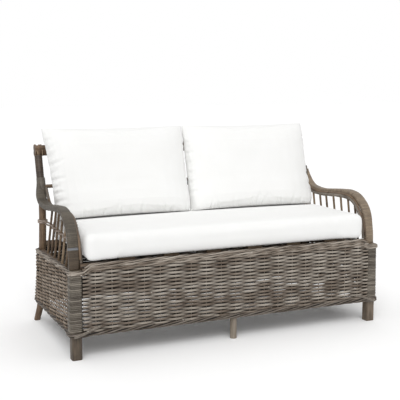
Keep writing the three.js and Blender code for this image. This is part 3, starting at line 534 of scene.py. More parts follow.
post_cane = bare_cane("whole_cane_tan", ("#382a20", "#665240", "#8c755d"), (1, 1, 0.07))
thin_cane = bare_cane("whole_cane_thin", ("#443326", "#75614c", "#a08c73"), (1.6, 1.6, 0.07))
leg_cane = bare_cane("whole_cane_leg", ("#43392f", "#605446", "#7c7061"), (1, 1, 0.08))
tan_cane = bare_cane("whole_cane_leg_tan", ("#564a3e", "#7d6f60", "#a09280"), (1, 1, 0.08))
strap_cane = bare_cane("split_cane_strap", ("#4f3d2f", "#86705a", "#b09a80"), (1.2, 0.3, 0.3))
pale_cane = bare_cane("whole_cane_pale", ("#7a6f62", "#9c9184", "#b6aca0"), (1, 1, 0.08))
rail_cane = bare_cane("whole_cane_rail", ("#45382e", "#6a5948", "#8b7863"), (0.08, 1, 1))
brown_cane = bare_cane("whole_cane_brown", ("#35291f", "#5f4d3d", "#836e58"), (1.2, 0.12, 0.12))
grey_cane = bare_cane("whole_cane_grey", ("#3d352d", "#6d645a", "#958c81"), (1.2, 0.12, 0.12))
# The slats' dark colour is painted shade, for where they lie under the seat.
slat_wood_painted_shade = bare_cane("softwood_painted_shade", ("#352a1e", "#4d3d2b", "#66543a"), (1, 0.06, 1), roughness=0.6)
print("cane finishes ready")

# %% [markdown]
# ## Weave of the front
# The base is a plain weave: a strand passes before one stake and behind the next, and each row does the
# opposite of the row below. Seen from the front, the strand behind a stake leaves a dark slit between its
# two neighbours. A strand is an oval carried along a waved line, and rows overlap slightly, as pressed rows
# do, so that no light comes through. At the ends the rows turn sharply round a stake beside the corner.

# %% Rows of the front
STRAND = oval(3.0, 4.8)
SWING = 5.0              # how far a strand swings out and in: half its own thickness and half a stake's
STAKE_FRONT, STAKE_SIDE = 73.0, 62.0
EVEN_STAKES = 9          # to each side of the middle; past them the rows turn round one more, 49 mm on
LAST_GAP = 49.0
LOW_ROW, FRONT_TOP_ROW, SIDE_TOP_ROW, REAR_TOP_ROW = 117.3, 398.0, 374.0, 358.0
ANY_PHASE = 6.28         # a whole turn, for a random start


def heights(low, high, pitch=8.0):
    """Heights of the rows, about 8 mm apart."""
    count = round((high - low) / pitch)
    return [low + (high - low) * (i + 0.5) / count for i in range(count)]


def front_swing(x, row):
    """1 where the strand is at the front, -1 where it is behind its stake. The last stake stands at 706 mm."""
    turn, last = x / STAKE_FRONT, EVEN_STAKES * STAKE_FRONT
    if abs(x) > last:
        turn = math.copysign(EVEN_STAKES + (abs(x) - last) / LAST_GAP, x)
    return -math.cos(math.pi * (turn + row))


def stray(s, drift, tilt):
    """How far a strand strays up or down at a length along its row, in mm, since no row is quite straight."""
    return 0.9 * math.sin(s / 61 + drift) + 0.5 * math.sin(s / 19 + 2 * drift) + tilt


def own_width(s, drift):
    """A strand is a little thicker in some places than in others."""
    return 1 + 0.07 * math.sin(s / 31 + 3 * drift)


def hidden(swing):
    """0 where a strand lies in front, 1 where it lies deepest, for the painted shade."""
    return (0.5 - 0.5 * swing) ** 1.25


paths, thick, deep = [], [], []
dice = random.Random(11)
for row, z in enumerate(heights(LOW_ROW, FRONT_TOP_ROW)):
    path, width, inside = [], [], []
    drift, tilt = dice.uniform(0, ANY_PHASE), dice.uniform(-0.5, 0.5)
    for i in range(191):
        x = -712.5 + 7.5 * i
        near_end = ease(abs(x), 680, 706)
        swing = front_swing(x + 3.5 * math.sin(x / 83 + drift), row)
        lift = stray(x, drift, tilt)
        out = SWING * swing - near_end * 3.0 * (1 - swing)
        path.append(point(x, FRONT_MID - out, z + lift * (1 - near_end)))
        width.append(own_width(x, drift) - 0.10 * near_end)
        inside.append(hidden(swing))
    paths.append(path)
    thick.append(width)
    deep.append(inside)
front_weave = carry("front_weave", paths, STRAND, thick, deep, stretch=0.45, seed=12)
finish(front_weave, core_x, "frame", "wicker", "woven_panel_front")
print("front rows:", len(paths), "faces:", len(front_weave.data.polygons))

# %% [markdown]
# The rows of the sides turn round the rear posts and run along the back. In plan each is a U, so one
# function walks along that line and swings the strand across it.

# %% Rows of the sides and the back
REAR_END = 697.0         # where the side rows end at the back


def side_line(sign, z, reach, step=7.5):
    """Plan line from a front corner round the rear post to the back, as (x, y, outward x, outward y) in mm."""
    x, back = sign * SIDE_MID, rake_y(z)
    count = round((back - WRAP_REAR) / step)
    line = [(x, WRAP_REAR + (back - WRAP_REAR) * i / count, sign, 0.0) for i in range(count)]
    radius = SIDE_MID - REAR_X
    for i in range(9):
        a = math.pi / 2 * i / 8
        line.append((sign * (REAR_X + radius * math.cos(a)), back + radius * math.sin(a), sign * math.cos(a),
                     math.sin(a)))
    count = round((REAR_X - reach) / step)
    return line + [(sign * (REAR_X + (reach - REAR_X) * i / count), back + radius, 0.0, 1.0)
                   for i in range(1, count + 1)]


def weave_along(line, z_of, row, pitch, dice, start=0.0):
    """Path, thickness and depth of one row that swings across a plan line."""
    path, width, inside, gone = [], [], [], start
    drift, tilt = dice.uniform(0, ANY_PHASE), dice.uniform(-0.5, 0.5)
    for i, (x, y, nx, ny) in enumerate(line):
        gone += math.hypot(x - line[i - 1][0], y - line[i - 1][1]) if i else 0.0
        swing = -math.cos(math.pi * ((gone + 3 * math.sin(gone / 83 + drift)) / pitch + row))
        path.append(point(x + nx * SWING * swing, y + ny * SWING * swing, z_of(y) + stray(gone, drift, tilt)))
        width.append(own_width(gone, drift))
        inside.append(hidden(swing))
    return path, width, inside


def side_fall(z):
    """The rows of a side fall towards the back, as its top border does."""
    fall = (BASE_TOP - REAR_TOP) * (z - BASE_LOW) / (BASE_TOP - BASE_LOW)
    return lambda y: z - fall * ease(y, WRAP_REAR, POST_Y)


for word, sign in SIDES:
    dice = random.Random(40 + sign)
    rows = [weave_along(side_line(sign, z, REAR_END), side_fall(z), row, STAKE_SIDE, dice)
            for row, z in enumerate(heights(LOW_ROW, SIDE_TOP_ROW))]
    side_weave = carry("side_weave_" + word, [r[0] for r in rows], STRAND, [r[1] for r in rows],
                       [r[2] for r in rows], stretch=0.4, seed=50 + sign)
    finish(side_weave, side_core_painted_shade, "frame", "wicker", "woven_panel_" + word)
    print(side_weave.name, len(rows), "rows,", len(side_weave.data.polygons), "faces")

dice = random.Random(90)
rows = []
for row, z in enumerate(heights(LOW_ROW, REAR_TOP_ROW)):
    line = [(-697.5 + 7.5 * i, rake_y(z) + REAR_MID, 0.0, 1.0) for i in range(187)]
    rows.append(weave_along(line, lambda _, z=z: z, row, STAKE_FRONT, dice, start=-697.5))
rear_weave = carry("rear_weave", [r[0] for r in rows], STRAND, [r[1] for r in rows], [r[2] for r in rows],
                   stretch=0.45, seed=91)
finish(rear_weave, core_x, "frame", "wicker", "woven_panel_rear")
print("rear rows:", len(rows))

# %% [markdown]
# ## Stakes
# The rows wind round upright canes, which show as thin pale lines across the dark slits of the weave.

# %% Stakes
paths = []
for x in [STAKE_FRONT * i for i in range(-EVEN_STAKES, EVEN_STAKES + 1)]:
    paths.append([point(x, FRONT_MID, z) for z in (102, 250, 400)])
    paths.append([point(x, rake_y(z) + REAR_MID, z) for z in (102, 235, 360)])
for _, sign in SIDES:
    for i in range(1, 9):
        y = WRAP_REAR + i * STAKE_SIDE
        paths.append([point(sign * SIDE_MID, y, z) for z in (102, 240, side_fall(SIDE_TOP_ROW)(y))])
stakes = carry("stakes", paths, oval(2.0, 2.0), level=False, seed=95)
finish(stakes, core_z, "frame", "wicker")
print("stakes:", len(paths))

# %% [markdown]
# ## Wale borders
# Along its top and its foot the weave ends in a border. The top one is three-rod wale: three strands are
# twisted so that each passes before two stakes and behind one, which gives long slanting strands. The foot
# border is a rope of five strands. Each strand is a flattened helix round the line of its row.

# %% Border line
def border_line(z_front, z_corner, z_rear, out, hug, step=8.0):
    """Line of a border in mm with its outward direction, once round the base. hug moves it out at the
    corners."""
    front_y, side_x = FRONT_MID - out, SIDE_MID + out
    rear = rake_y(z_rear)
    radius, corner = side_x - REAR_X, 15.0
    plan = [(0, rear + radius, 0, 1), (-REAR_X, rear + radius, 0, 1)]
    plan += [(-REAR_X - radius * math.sin(a), rear + radius * math.cos(a), -math.sin(a), math.cos(a))
             for a in [math.pi / 16 * i for i in range(1, 9)]]
    cx, cy = side_x + hug - corner, front_y - hug + corner
    plan += [(-side_x, -270, -1, 0), (-side_x - hug * 0.8, -292, -1, 0), (-side_x - hug, -302, -1, 0)]
    plan += [(-cx - corner * math.cos(a), cy - corner * math.sin(a), -math.cos(a), -math.sin(a))
             for a in [math.pi / 16 * i for i in range(0, 9)]]
    plan += [(-714, front_y - hug, 0, -1), (-700, front_y - hug * 0.4, 0, -1), (-685, front_y, 0, -1)]
    plan += [(-x, y, -nx, ny) for x, y, nx, ny in reversed(plan)]
    line = []
    for (x0, y0, a0, b0), (x1, y1, a1, b1) in zip(plan, plan[1:]):
        count = max(round(math.dist((x0, y0), (x1, y1)) / step), 1)
        for i in range(count):
            t = i / count
            x, y = x0 + (x1 - x0) * t, y0 + (y1 - y0) * t
            fall = ease(y, WRAP_REAR, POST_Y)
            z = z_corner + (z_rear - z_corner) * fall
            if y < front_y + 1:
                z = z_corner + (z_front - z_corner) * (1 - ease(abs(x), 668, 712))
            line.append((x, y, z, a0 + (a1 - a0) * t, b0 + (b1 - b0) * t))
    return line


def twist(line, canes, out, up, turn, dice, core=0.0):
    """Strands that wind round a line, and a core of that thickness, painted wholly as shade. turn is the
    length of one turn in mm."""
    paths, thick, deep = [], [], []
    for cane in range(canes):
        path, width, inside, gone, drift = [], [], [], 0.0, dice.uniform(0, ANY_PHASE)
        for i, (x, y, z, nx, ny) in enumerate(line):
            gone += math.dist((x, y, z), line[i - 1][:3]) if i else 0.0
            a = 2 * math.pi * (gone / turn + cane / canes) + 0.2 * math.sin(gone / 60 + drift)
            path.append(point(x + nx * out * math.cos(a), y + ny * out * math.cos(a), z + up * math.sin(a)))
            width.append(1 + 0.09 * math.sin(gone / 29 + drift))
            # How deep the strand lies inside the rope, for the painted shade
            inside.append((0.5 - 0.5 * math.cos(a)) ** 2)
        paths.append(path)
        thick.append(width)
        deep.append(inside)
    # The core is painted wholly as shade, to darken the gaps between the strands.
    if core:
        paths.append([point(x, y, z) for x, y, z, nx, ny in line])
        thick.append([core] * len(line))
        deep.append([1.0] * len(line))
    return paths, thick, deep


print("border line points:", len(border_line(384, 376, 366, 1, 7)))

# %% Borders
def border(name, lines, canes, out, up, turn, outline, look, seed, core):
    """Ropes of strands along some lines; out and up are half the width and half the height of a rope."""
    dice = random.Random(seed)
    paths, thick, deep = [], [], []
    for number, line in enumerate(lines):
        more = twist(line, canes, out, up, turn * (1 + 0.03 * number), dice, core)
        paths, thick, deep = paths + more[0], thick + more[1], deep + more[2]
    piece = carry(name, paths, outline, thick, deep, stretch=0.5, seed=seed)
    finish(piece, look, "frame", "wicker")
    print(name, len(paths), "strands,", len(piece.data.polygons), "faces")


# A third rope crowns the front only, and comes down to the corners at its ends
crest = [(x, FRONT_MID - 1, 406 - 12 * ease(abs(x), 676, 704), 0, -1) for x in range(-704, 705, 8)]
border("top_border", [border_line(385, 368, 357, 1.5, 5), border_line(395.5, 376.5, 366, 1.5, 5), crest],
       canes=3, out=5.2, up=3.4, turn=3 * STAKE_FRONT, outline=oval(3.0, 3.3), look=rope_x, seed=6, core=1.1)
border("foot_border", [border_line(111, 110, 111, 1.5, 7)],
       canes=5, out=5.6, up=8.8, turn=300, outline=oval(3.1, 3.3), look=rope_low, seed=3, core=2.2)

# %% [markdown]
# At the front corners a pale pair of strands is laid over the foot border, where its ends were tucked in.

# %% Tucked ends at the corners
for word, sign in SIDES:
    paths = []
    for k in range(2):
        spots = [(-764, -338, 99 + 5 * k), (-752, -366, 102 + 6 * k), (-722, -368.5, 110 + 6 * k),
                 (-690, -367, 122 + 5.5 * k), (-664, -364, 131 + 5 * k), (-640, -357, 134 + 5 * k)]
        paths.append(smooth_path([point(-sign * x, y, z) for x, y, z in spots], 8))
    ends = carry("tucked_ends_" + word, paths, oval(2.6, 3.0), seed=17 + sign)
    finish(ends, core_z, "frame", "wicker")
print("tucked ends ready")

# %% [markdown]
# ## Wrapped corners
# At the front corners every row runs round the post, so the corner is a stack of close flat loops. One loop
# is a rounded square of cane, and the loops differ a little in size, height and shade.

# %% Corner loops
LOOPS, LOW_LOOP, LOOP_PITCH = 37, 101.5, 7.75


def loop(cx, cy, half_x, half_y, corner, z, tilt):
    """A rounded square that leans a little."""
    out = []
    for k, (sx, sy) in enumerate(((1, 1), (-1, 1), (-1, -1), (1, -1))):
        for i in range(5):
            a = math.radians(90 * k + 90 * i / 4)
            out.append(point(cx + sx * (half_x - corner) + corner * math.cos(a),
                             cy + sy * (half_y - corner) + corner * math.sin(a), z + tilt * math.cos(a)))
    return out


for word, sign in SIDES:
    dice = random.Random(20 + sign)
    paths, thick = [], []
    for i in range(LOOPS):
        z = LOW_LOOP + LOOP_PITCH * i
        outer = WRAP_SIDE - 2.6 - 5 * (z - BASE_LOW) / (BASE_TOP - BASE_LOW) + dice.uniform(-0.4, 0.5)
        inner = POST_X - POST_HALF - 1.5
        half_y = (WRAP_REAR - WRAP_FRONT) / 2 - 2.6 + dice.uniform(-0.3, 0.3)
        paths.append(loop(sign * (outer + inner) / 2, (WRAP_FRONT + WRAP_REAR) / 2, (outer - inner) / 2,
                          half_y, 9.5, z, dice.uniform(-0.5, 0.5)))
        thick.append([dice.uniform(0.95, 1.06)] * 20)
    corner = carry("corner_loops_" + word, paths, oval(2.7, 3.55), thick, closed=True, seed=22 + sign,
                   smooth=70)
    finish(corner, peel_corner, "frame", "peel", "corner_wrap_" + word)
    print(corner.name, len(paths), "loops")

# %% [markdown]
# ## Poles
# The frame is made of whole canes. A cane is nearly round, swells a little at its nodes, and has a dark
# ring there. Each pole is a circle carried along its line, and its thickness changes to give those nodes.

# %% Poles
STEP = 5.0               # from one ring of corners to the next


def cane(name, path, radius, look, nodes=(), node_mm=240, seed=1, sides=12, taper=None):
    """A whole cane with its growth rings about node_mm apart."""
    dice = random.Random(seed)
    path = even(path, STEP)
    rings, length = [], STEP * (len(path) - 1)
    reach = dice.uniform(0.3, 0.9) * node_mm
    while reach < length - 20:
        rings.append(reach)
        reach += node_mm * dice.uniform(0.8, 1.2)
    thick, marks = [], []
    for i in range(len(path)):
        near = min([abs(STEP * i - r) for r in rings] or [999])
        swell = 0.06 * math.exp(-(near / 7) ** 2) + 0.015 * math.sin(i / 9 + seed)
        thick.append((1 + swell) * (taper(i / len(path)) if taper else 1))
        marks.append(math.exp(-(near / 3.5) ** 2))
    piece = carry(name, [path], oval(radius, radius, sides), [thick], [marks], level=False, seed=seed)
    return finish(piece, look, "frame", "pole", *nodes)


for word, sign in SIDES:
    line = smooth_path([point(sign * (REAR_X + x), y, z) for x, y, z in POST_AXIS])
    post = cane("rear_post_cane_" + word, line, POST_RADIUS, post_cane, ("rear_post_" + word,), seed=30 + sign,
                sides=20, taper=lambda t: 1 - 0.12 * max(0, 1 - t / 0.10))
    for v in post.data.vertices:        # the foot is sawn level with the floor
        v.co.z = max(v.co.z, 0.0)
for i, node in enumerate(sorted(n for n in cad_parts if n.startswith("back_spindle_"))):
    low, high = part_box(node)
    x = (low[0] + high[0]) / 2 / MM
    line = smooth_path([point(x, post_at(z)[1], z) for z in (408, 439, 500, 549, 600, 640, 681, 740, 806)])
    cane("back_cane_%d" % (i + 1), line, 7.0, thin_cane, (node,), seed=60 + i)
mid_y = post_at(MID_RAIL_Z)[1] - 16.3
cane("mid_rail_cane", [point(-716, mid_y, MID_RAIL_Z), point(716, mid_y, MID_RAIL_Z)], 9.0, rail_cane,
     ("back_mid_rail",), seed=9)
print("rear posts, back canes and middle rail ready")

# %% [markdown]
# ## Arms
# Each arm is a bow, a flat bundle of canes bound with peel, that stands on the front corner, sweeps back
# and runs up the rear post, where it gets narrower. An outline with rounded corners is carried along it,
# and every turn of the binding swells a little.

# %% Arm bows
# Shares of the arm's reach and rise
BOW = [(0, 0), (0.004, 0.2), (0.017, 0.39), (0.034, 0.57), (0.07, 0.73), (0.13, 0.86), (0.206, 0.956),
       (0.315, 1), (0.424, 0.988), (0.576, 0.955), (0.742, 0.918), (0.858, 0.925), (0.962, 0.972),
       (1.018, 1.06), (1.055, 1.18), (1.088, 1.34)]
INNER = [(0, 0), (0.01, 0.2), (0.04, 0.44), (0.085, 0.6), (0.122, 0.72), (0.177, 0.83), (0.252, 0.89),
         (0.352, 0.905), (0.462, 0.896), (0.607, 0.867), (0.735, 0.846), (0.85, 0.86), (0.94, 0.93),
         (0.985, 1.02), (1.025, 1.13), (1.062, 1.24)]
INNER_FOOT = SEAT_RAIL_Z + 16


def arm_line(shares, x, foot_z):
    """The line of a bow or an inner pole from its shares of the arm's reach and rise."""
    rise = ARM_RISE + BASE_TOP - foot_z
    return smooth_path([point(x, ARM_FOOT + a * ARM_REACH, foot_z + b * rise) for a, b in shares])


def bound(name, path, outline, look, nodes, band_mm=PEEL_MM, swell=0.035, level=False, seed=1):
    """A bound piece: three rings of the outline to each turn of the binding, the first one smaller."""
    path = even(path, band_mm / 3)
    thick = [1 - swell if i % 3 == 0 else 1 for i in range(len(path))]
    piece = carry(name, [path], outline, [thick], level=level, seed=seed)
    return finish(piece, look, "frame", "peel", *nodes)


for word, sign in SIDES:
    path = arm_line(BOW, sign * BOW_X, BASE_TOP + 0.5)
    bow = bound("arm_bow_bound_" + word, path, slab(23, 13, 9), peel_left if sign < 0 else peel_right,
                ("arm_bow_" + word,), seed=70 + sign)
    for v in bow.data.vertices:         # the bow gets narrower where it climbs the rear post
        if v.co.y > 0:
            v.co.x = sign * BOW_X * MM + (v.co.x - sign * BOW_X * MM) * (1 - 0.62 * ease(v.co.z / MM, 612, 702))
    cane("arm_inner_cane_" + word, arm_line(INNER, sign * INNER_X, INNER_FOOT), 7.0, grey_cane,
         ("arm_inner_pole_" + word,), seed=74 + sign)
    print(bow.name, len(bow.data.vertices), "vertices")

# %% [markdown]
# Seven thin canes carry each arm. They stand on the side rail and lean in towards the inner pole. A thin
# strip is wound round the inner pole and holds their heads.

# %% Arm canes
def inner_top(y):
    """Height of the inner pole's axis at a depth."""
    return min(arm_line(INNER, 0, INNER_FOOT), key=lambda p: abs(p.y / MM - y)).z / MM


PLACES = []
for word, sign in SIDES:
    for node in sorted(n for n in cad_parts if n.startswith("arm_spindle_" + word)):
        low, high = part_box(node)
        y = (low[1] + high[1]) / 2 / MM
        PLACES.append(round(y, 1))
        line = [point(sign * SIDE_RAIL_X, y, SIDE_RAIL_Z + 12), point(sign * INNER_X, y, inner_top(y) - 2)]
        cane(node.replace("spindle", "cane"), line, 5.5, thin_cane, (node,), node_mm=120,
             seed=int(y) + 400 + 7 * sign)
PLACES = sorted(set(PLACES))
print("arm canes at", PLACES)

# %% Lashing of the arms
LASH_STEP, LASH_TURN, LASH_RADIUS = 2.5, 13, 8.2
for word, sign in SIDES:
    core = [p for p in even(arm_line(INNER, sign * INNER_X, INNER_FOOT), LASH_STEP)
            if p.z > 0.548 and p.y < 0.075]
    path = []
    for i, p in enumerate(core):
        ahead = (core[min(i + 1, len(core) - 1)] - core[max(i - 1, 0)]).normalized()
        side = Vector((1, 0, 0))
        a = 2 * math.pi * i * LASH_STEP / LASH_TURN
        path.append(p + (side * math.cos(a) + ahead.cross(side) * math.sin(a)) * LASH_RADIUS * MM)
    lashing = carry("arm_lashing_" + word, [path], oval(2.0, 2.0, 6), level=False, seed=5)
    finish(lashing, grey_cane, "frame", "peel")
print("lashing turns:", round(len(core) * LASH_STEP / LASH_TURN))

# %% [markdown]
# Between the bow and the inner pole three more thin canes fill the corner, so that no light comes through
# under the bow. They follow a line halfway between the two.

# %% Filling canes of the arms
for word, sign in SIDES:
    inner = [p for p in arm_line(INNER, sign * INNER_X, INNER_FOOT) if 0.425 < p.z and p.y < 0.2]
    for k, (x, rise, back) in enumerate(((711.6, 10.6, 0), (717.6, -2.5, 0), (712.5, 0, -9))):
        line = [Vector((sign * x * MM, p.y + back * MM, p.z + rise * MM)) for p in inner]
        filler = cane("arm_filling_cane_%s_%d" % (word, k + 1), line, 5.2, brown_cane, seed=76 + k + sign)
print(filler.name, len(filler.data.polygons), "faces")

# %% [markdown]
# At half height two canes are twisted round the thin canes and end in a loop round the rear post. They
# cross between every two canes, so each strand is a wave, and the second one is its mirror.

# %% Arm bands
BAND_POINTS, LOOP_RADIUS = 120, 20.5
for word, sign in SIDES:
    low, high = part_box("arm_band_" + word)
    y0, y1 = low[1] / MM + 4, post_at(BAND_Z)[1]
    cane_rise = inner_top(-48) - SIDE_RAIL_Z        # of an arm cane near the middle
    paths, thick = [], []
    for k in range(2):
        path = []
        for i in range(BAND_POINTS + 1):
            y = y0 + (y1 - y0) * i / BAND_POINTS
            t = ease(y, 140, y1)
            z = BAND_Z - BAND_DROP * (y1 - y) / (y1 - y0)
            lean = SIDE_RAIL_X - (SIDE_RAIL_X - INNER_X) * (z - SIDE_RAIL_Z) / cane_rise
            x = lean + (REAR_X - 2 - lean) * t
            after = sum(1 for p in PLACES if p < y)
            before = PLACES[after - 1] if after else y0
            following = PLACES[after] if after < len(PLACES) else y1 + 20
            a = math.pi * (after + (y - before) / max(following - before, 1) - 0.5 + k)
            r = 8.2 + (POST_RADIUS - 4) * max(0, (t - 0.55) / 0.45) ** 2
            path.append(point(sign * (x + r * math.sin(a)), y, z + 4.6 * math.cos(a)))
        paths.append(path)
    for k in range(2):
        paths.append([point(sign * (REAR_X - 3) + LOOP_RADIUS * math.cos(a), y1 + LOOP_RADIUS * math.sin(a),
                            BAND_Z - 4 + 8 * k) for a in [2 * math.pi * i / 28 for i in range(29)]])
    band = carry("arm_band_canes_" + word, paths, oval(3.9, 4.4), seed=80 + sign)
    finish(band, band_core, "frame", "wicker", "arm_band_" + word)
print("arm bands ready")

# %% [markdown]
# ## Bound rear posts
# Above the arm the rear post is bound with broad dark peel, and where the bow climbs it one grey binding
# goes round both.

# %% Post bindings
for word, sign in SIDES:
    line = smooth_path([point(sign * (REAR_X + x), y, z) for x, y, z in POST_AXIS])
    upper = [p for p in line if 0.690 < p.z]
    bound("post_binding_" + word, upper, oval(18.6, 18.6, 20), peel_post, (), band_mm=9.0, swell=0.05,
          seed=84 + sign)
    joint = [p + point(0, -6.5, 0) for p in line if 0.592 < p.z < 0.706]
    bound("joint_binding_" + word, joint, oval(21, 25.5, 24), peel_joint, (), seed=86 + sign)
print("post bindings ready")

# %% [markdown]
# ## Top rail
# The back ends in a broad rail, bound all along. A strip laid crosswise holds it to each post.

# %% Top rail
low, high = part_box("back_top_rail")
rail_y, rail_z, half = (low[1] + high[1]) / 2 / MM, (low[2] + high[2]) / 2 / MM, high[0] / MM
(_, y0, z0), (_, y1, z1) = POST_AXIS[-2:]
lean = math.atan2(y1 - y0, z1 - z0)
outline = [(x * math.cos(lean) + y * math.sin(lean), -x * math.sin(lean) + y * math.cos(lean))
           for x, y in slab(14, 27, 13)]
rail = bound("top_rail_bound", [point(-half, rail_y, rail_z), point(half, rail_y, rail_z)], outline, peel_rail,
             ("back_top_rail",), level=True, seed=88)
low, high = rail.bound_box[0], rail.bound_box[6]
print("top rail y %.0f to %.0f, z %.0f to %.0f mm" % (low[1] / MM, high[1] / MM, low[2] / MM, high[2] / MM))

# %% Rail lashings
up, back = Vector((0, math.sin(lean), math.cos(lean))), Vector((0, math.cos(lean), -math.sin(lean)))
for word, sign in SIDES:
    paths = []
    for k, (shift, cross) in enumerate([(-8, -12), (-3, -12), (2, -12), (6, 12), (10, 12), (-16, 0), (16, 0)]):
        path = []
        for i in range(28):
            a = 2 * math.pi * i / 28
            c, s = math.cos(a), math.sin(a)
            wide = math.copysign(abs(c) ** 0.6, c) * (14.6 + 0.3 * k)
            high_up = math.copysign(abs(s) ** 0.6, s) * (27.4 + 0.2 * k)
            x = sign * (REAR_X - 12) + sign * shift + sign * cross * high_up / 56
            path.append(point(x, rail_y, rail_z) + back * wide * MM + up * high_up * MM)
        paths.append(path)
    straps = carry("rail_lashing_" + word, paths, oval(1.7, 2.4, 6), closed=True, level=False, seed=33 + sign)
    finish(straps, strap_cane, "frame", "peel")
print("rail lashings ready")

# %% [markdown]
# ## Pieces that keep the model's shape
# The front posts, legs, rails and slats have their right shape already and only need their finish: smoked
# cane for the posts and rails, and softwood for the slats, painted dark as the shade they lie in under the seat.

# %% Carried-over pieces
KEPT = {"front_post_left": leg_cane, "front_post_right": tan_cane, "centre_leg": pale_cane,
        "base_rail": rail_cane, "seat_rail": rail_cane, "seat_slat": slat_wood_painted_shade}
count = 0
for name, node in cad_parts.items():
    for start, look in KEPT.items():
        if name.startswith(start):
            node.data.materials.clear()
            node.data.materials.append(look)
            count += 1
print("kept:", count)

# %% [markdown]
# ## Canvas
# The covers are a thick off-white canvas, plain woven. Its threads are 0.6 mm apart, too fine for this
# picture, so the relief is drawn about 1.5 mm apart. The eye sees a matte cloth, a little uneven in tone.

# %% Canvas
canvas, tree = new_look("off_white_canvas")
place = add(tree, "ShaderNodeTexCoord")
mottle = add(tree, "ShaderNodeTexNoise", Vector=(place, "Object"), Scale=9.0, Detail=3.0)
tone = add(tree, "ShaderNodeMix", {"data_type": "RGBA"}, Factor=(mottle, 0), A=linear("#f0f0ee"),
           B=linear("#f5f5f4"))
thread = add(tree, "ShaderNodeTexNoise", Vector=(place, "Object"), Scale=650.0, Detail=2.0)
cloth = close_look(tree, (tone, 2), 0.92, (thread, 0), 0.2, 0.4, 0.2)
cloth.inputs["Sheen Weight"].default_value = 0.12
print("canvas ready")

# %% [markdown]
# ## Cushions
# A cushion is a sewn bag that its filling blows up. It is made in the same way: the model's solid is copied
# a little smaller, turned into an even mesh, and blown up as cloth by pressure from inside. It is then held
# to the model's solid, no more than a little outside it and not deep inside it, so it rests flat on what
# carries it, fills its place, and stays clear of its neighbours.

# %% Blow up one cushion
def hold_to(piece, solid, slack, deepest):
    """Keeps every corner of a piece between so much outside a solid and so much inside it, in mm."""
    tree = BVHTree.FromPolygons([v.co for v in solid.data.vertices],
                                [list(p.vertices) for p in solid.data.polygons])
    moved = 0
    for v in piece.data.vertices:
        spot, normal = tree.find_nearest(v.co)[:2]
        rise = (v.co - spot).dot(normal)
        kept = min(max(rise, -deepest * MM), slack * MM)
        if kept != rise:
            v.co = spot + normal * kept
            moved += 1
    return moved


def apply_modifier(piece, kind, **settings):
    """Adds a modifier to the active piece and applies it."""
    made = piece.modifiers.new(kind.title(), kind)
    for name, value in settings.items():
        setattr(made, name, value)
    bpy.ops.object.modifier_apply(modifier=made.name)


CLOTH = {"quality": 5, "mass": 0.25, "tension_stiffness": 12, "compression_stiffness": 12, "shear_stiffness": 4,
         "bending_stiffness": 0.4, "use_pressure": True, "uniform_pressure_force": 4}
FRAMES = 20              # steps of the simulation
SMALLER, CAP = 1.0, 24   # how much smaller a cover starts, and how far a corner may move
OUTSIDE = 0.6            # how far a cover may lie outside its solid


def blown_cushion(node, voxel, fuller, deepest):
    """A cover for a cushion node: copy, merge, shrink, even mesh, pressure, cap, hold, subdivision."""
    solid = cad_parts[node]
    cover = solid.copy()
    cover.data = solid.data.copy()
    cover.name = cover.data.name = node + "_cover"
    bpy.context.scene.collection.objects.link(cover)
    bare()
    cover.hide_set(False)
    cover.hide_render = False
    cover.select_set(True)
    bpy.context.view_layer.objects.active = cover
    bpy.ops.object.mode_set(mode="EDIT")
    bpy.ops.mesh.select_all(action="SELECT")
    bpy.ops.mesh.remove_doubles(threshold=1e-5)
    bpy.ops.object.mode_set(mode="OBJECT")
    merged = cover.data.copy()
    apply_modifier(cover, "DISPLACE", strength=-SMALLER * MM, mid_level=0.0)
    apply_modifier(cover, "REMESH", mode="VOXEL", voxel_size=voxel * MM)
    apply_modifier(cover, "SMOOTH", factor=0.5, iterations=3)
    before = [v.co.copy() for v in cover.data.vertices]
    cloth = cover.modifiers.new("Cloth", "CLOTH")
    for name, value in CLOTH.items():
        setattr(cloth.settings, name, value)
    cloth.settings.shrink_min = -fuller      # more cloth than the filling needs, so it may wrinkle
    cloth.settings.effector_weights.gravity = 0
    cloth.collision_settings.use_collision = False
    cloth.point_cache.frame_start, cloth.point_cache.frame_end = 1, FRAMES
    for step in range(1, FRAMES + 1):
        bpy.context.scene.frame_set(step)
    bpy.ops.object.modifier_apply(modifier="Cloth")
    bpy.context.scene.frame_set(1)
    most = 0.0
    for v, old in zip(cover.data.vertices, before):
        way = v.co - old
        most = max(most, way.length)
        if way.length > CAP * MM:
            v.co = old + way * (CAP * MM / way.length)
    shell = bpy.data.objects.new("shell", merged)
    moved = hold_to(cover, shell, OUTSIDE, deepest)
    bpy.data.objects.remove(shell)
    apply_modifier(cover, "SMOOTH", factor=0.5, iterations=2)
    apply_modifier(cover, "SUBSURF", levels=1, render_levels=1)
    bpy.ops.object.shade_smooth()
    print(node, "grew by up to", round(most / MM, 1), "mm;", moved, "corners held;",
          len(cover.data.polygons), "faces")
    return cover


COVERS = {"seat_cushion": blown_cushion("seat_cushion", voxel=10.0, fuller=0.05, deepest=1.5)}
for word, sign in SIDES:
    node = "back_cushion_" + word
    COVERS[node] = blown_cushion(node, voxel=7.0, fuller=0.07, deepest=2.0)
print("cushions blown up:", len(COVERS))

# %% [markdown]
# The canvas is gathered in small pleats along the side seams, and it creases along the foot of the back
# cushions. A pleat is a short valley with a low ridge on both sides, pressed into the front of the cover.

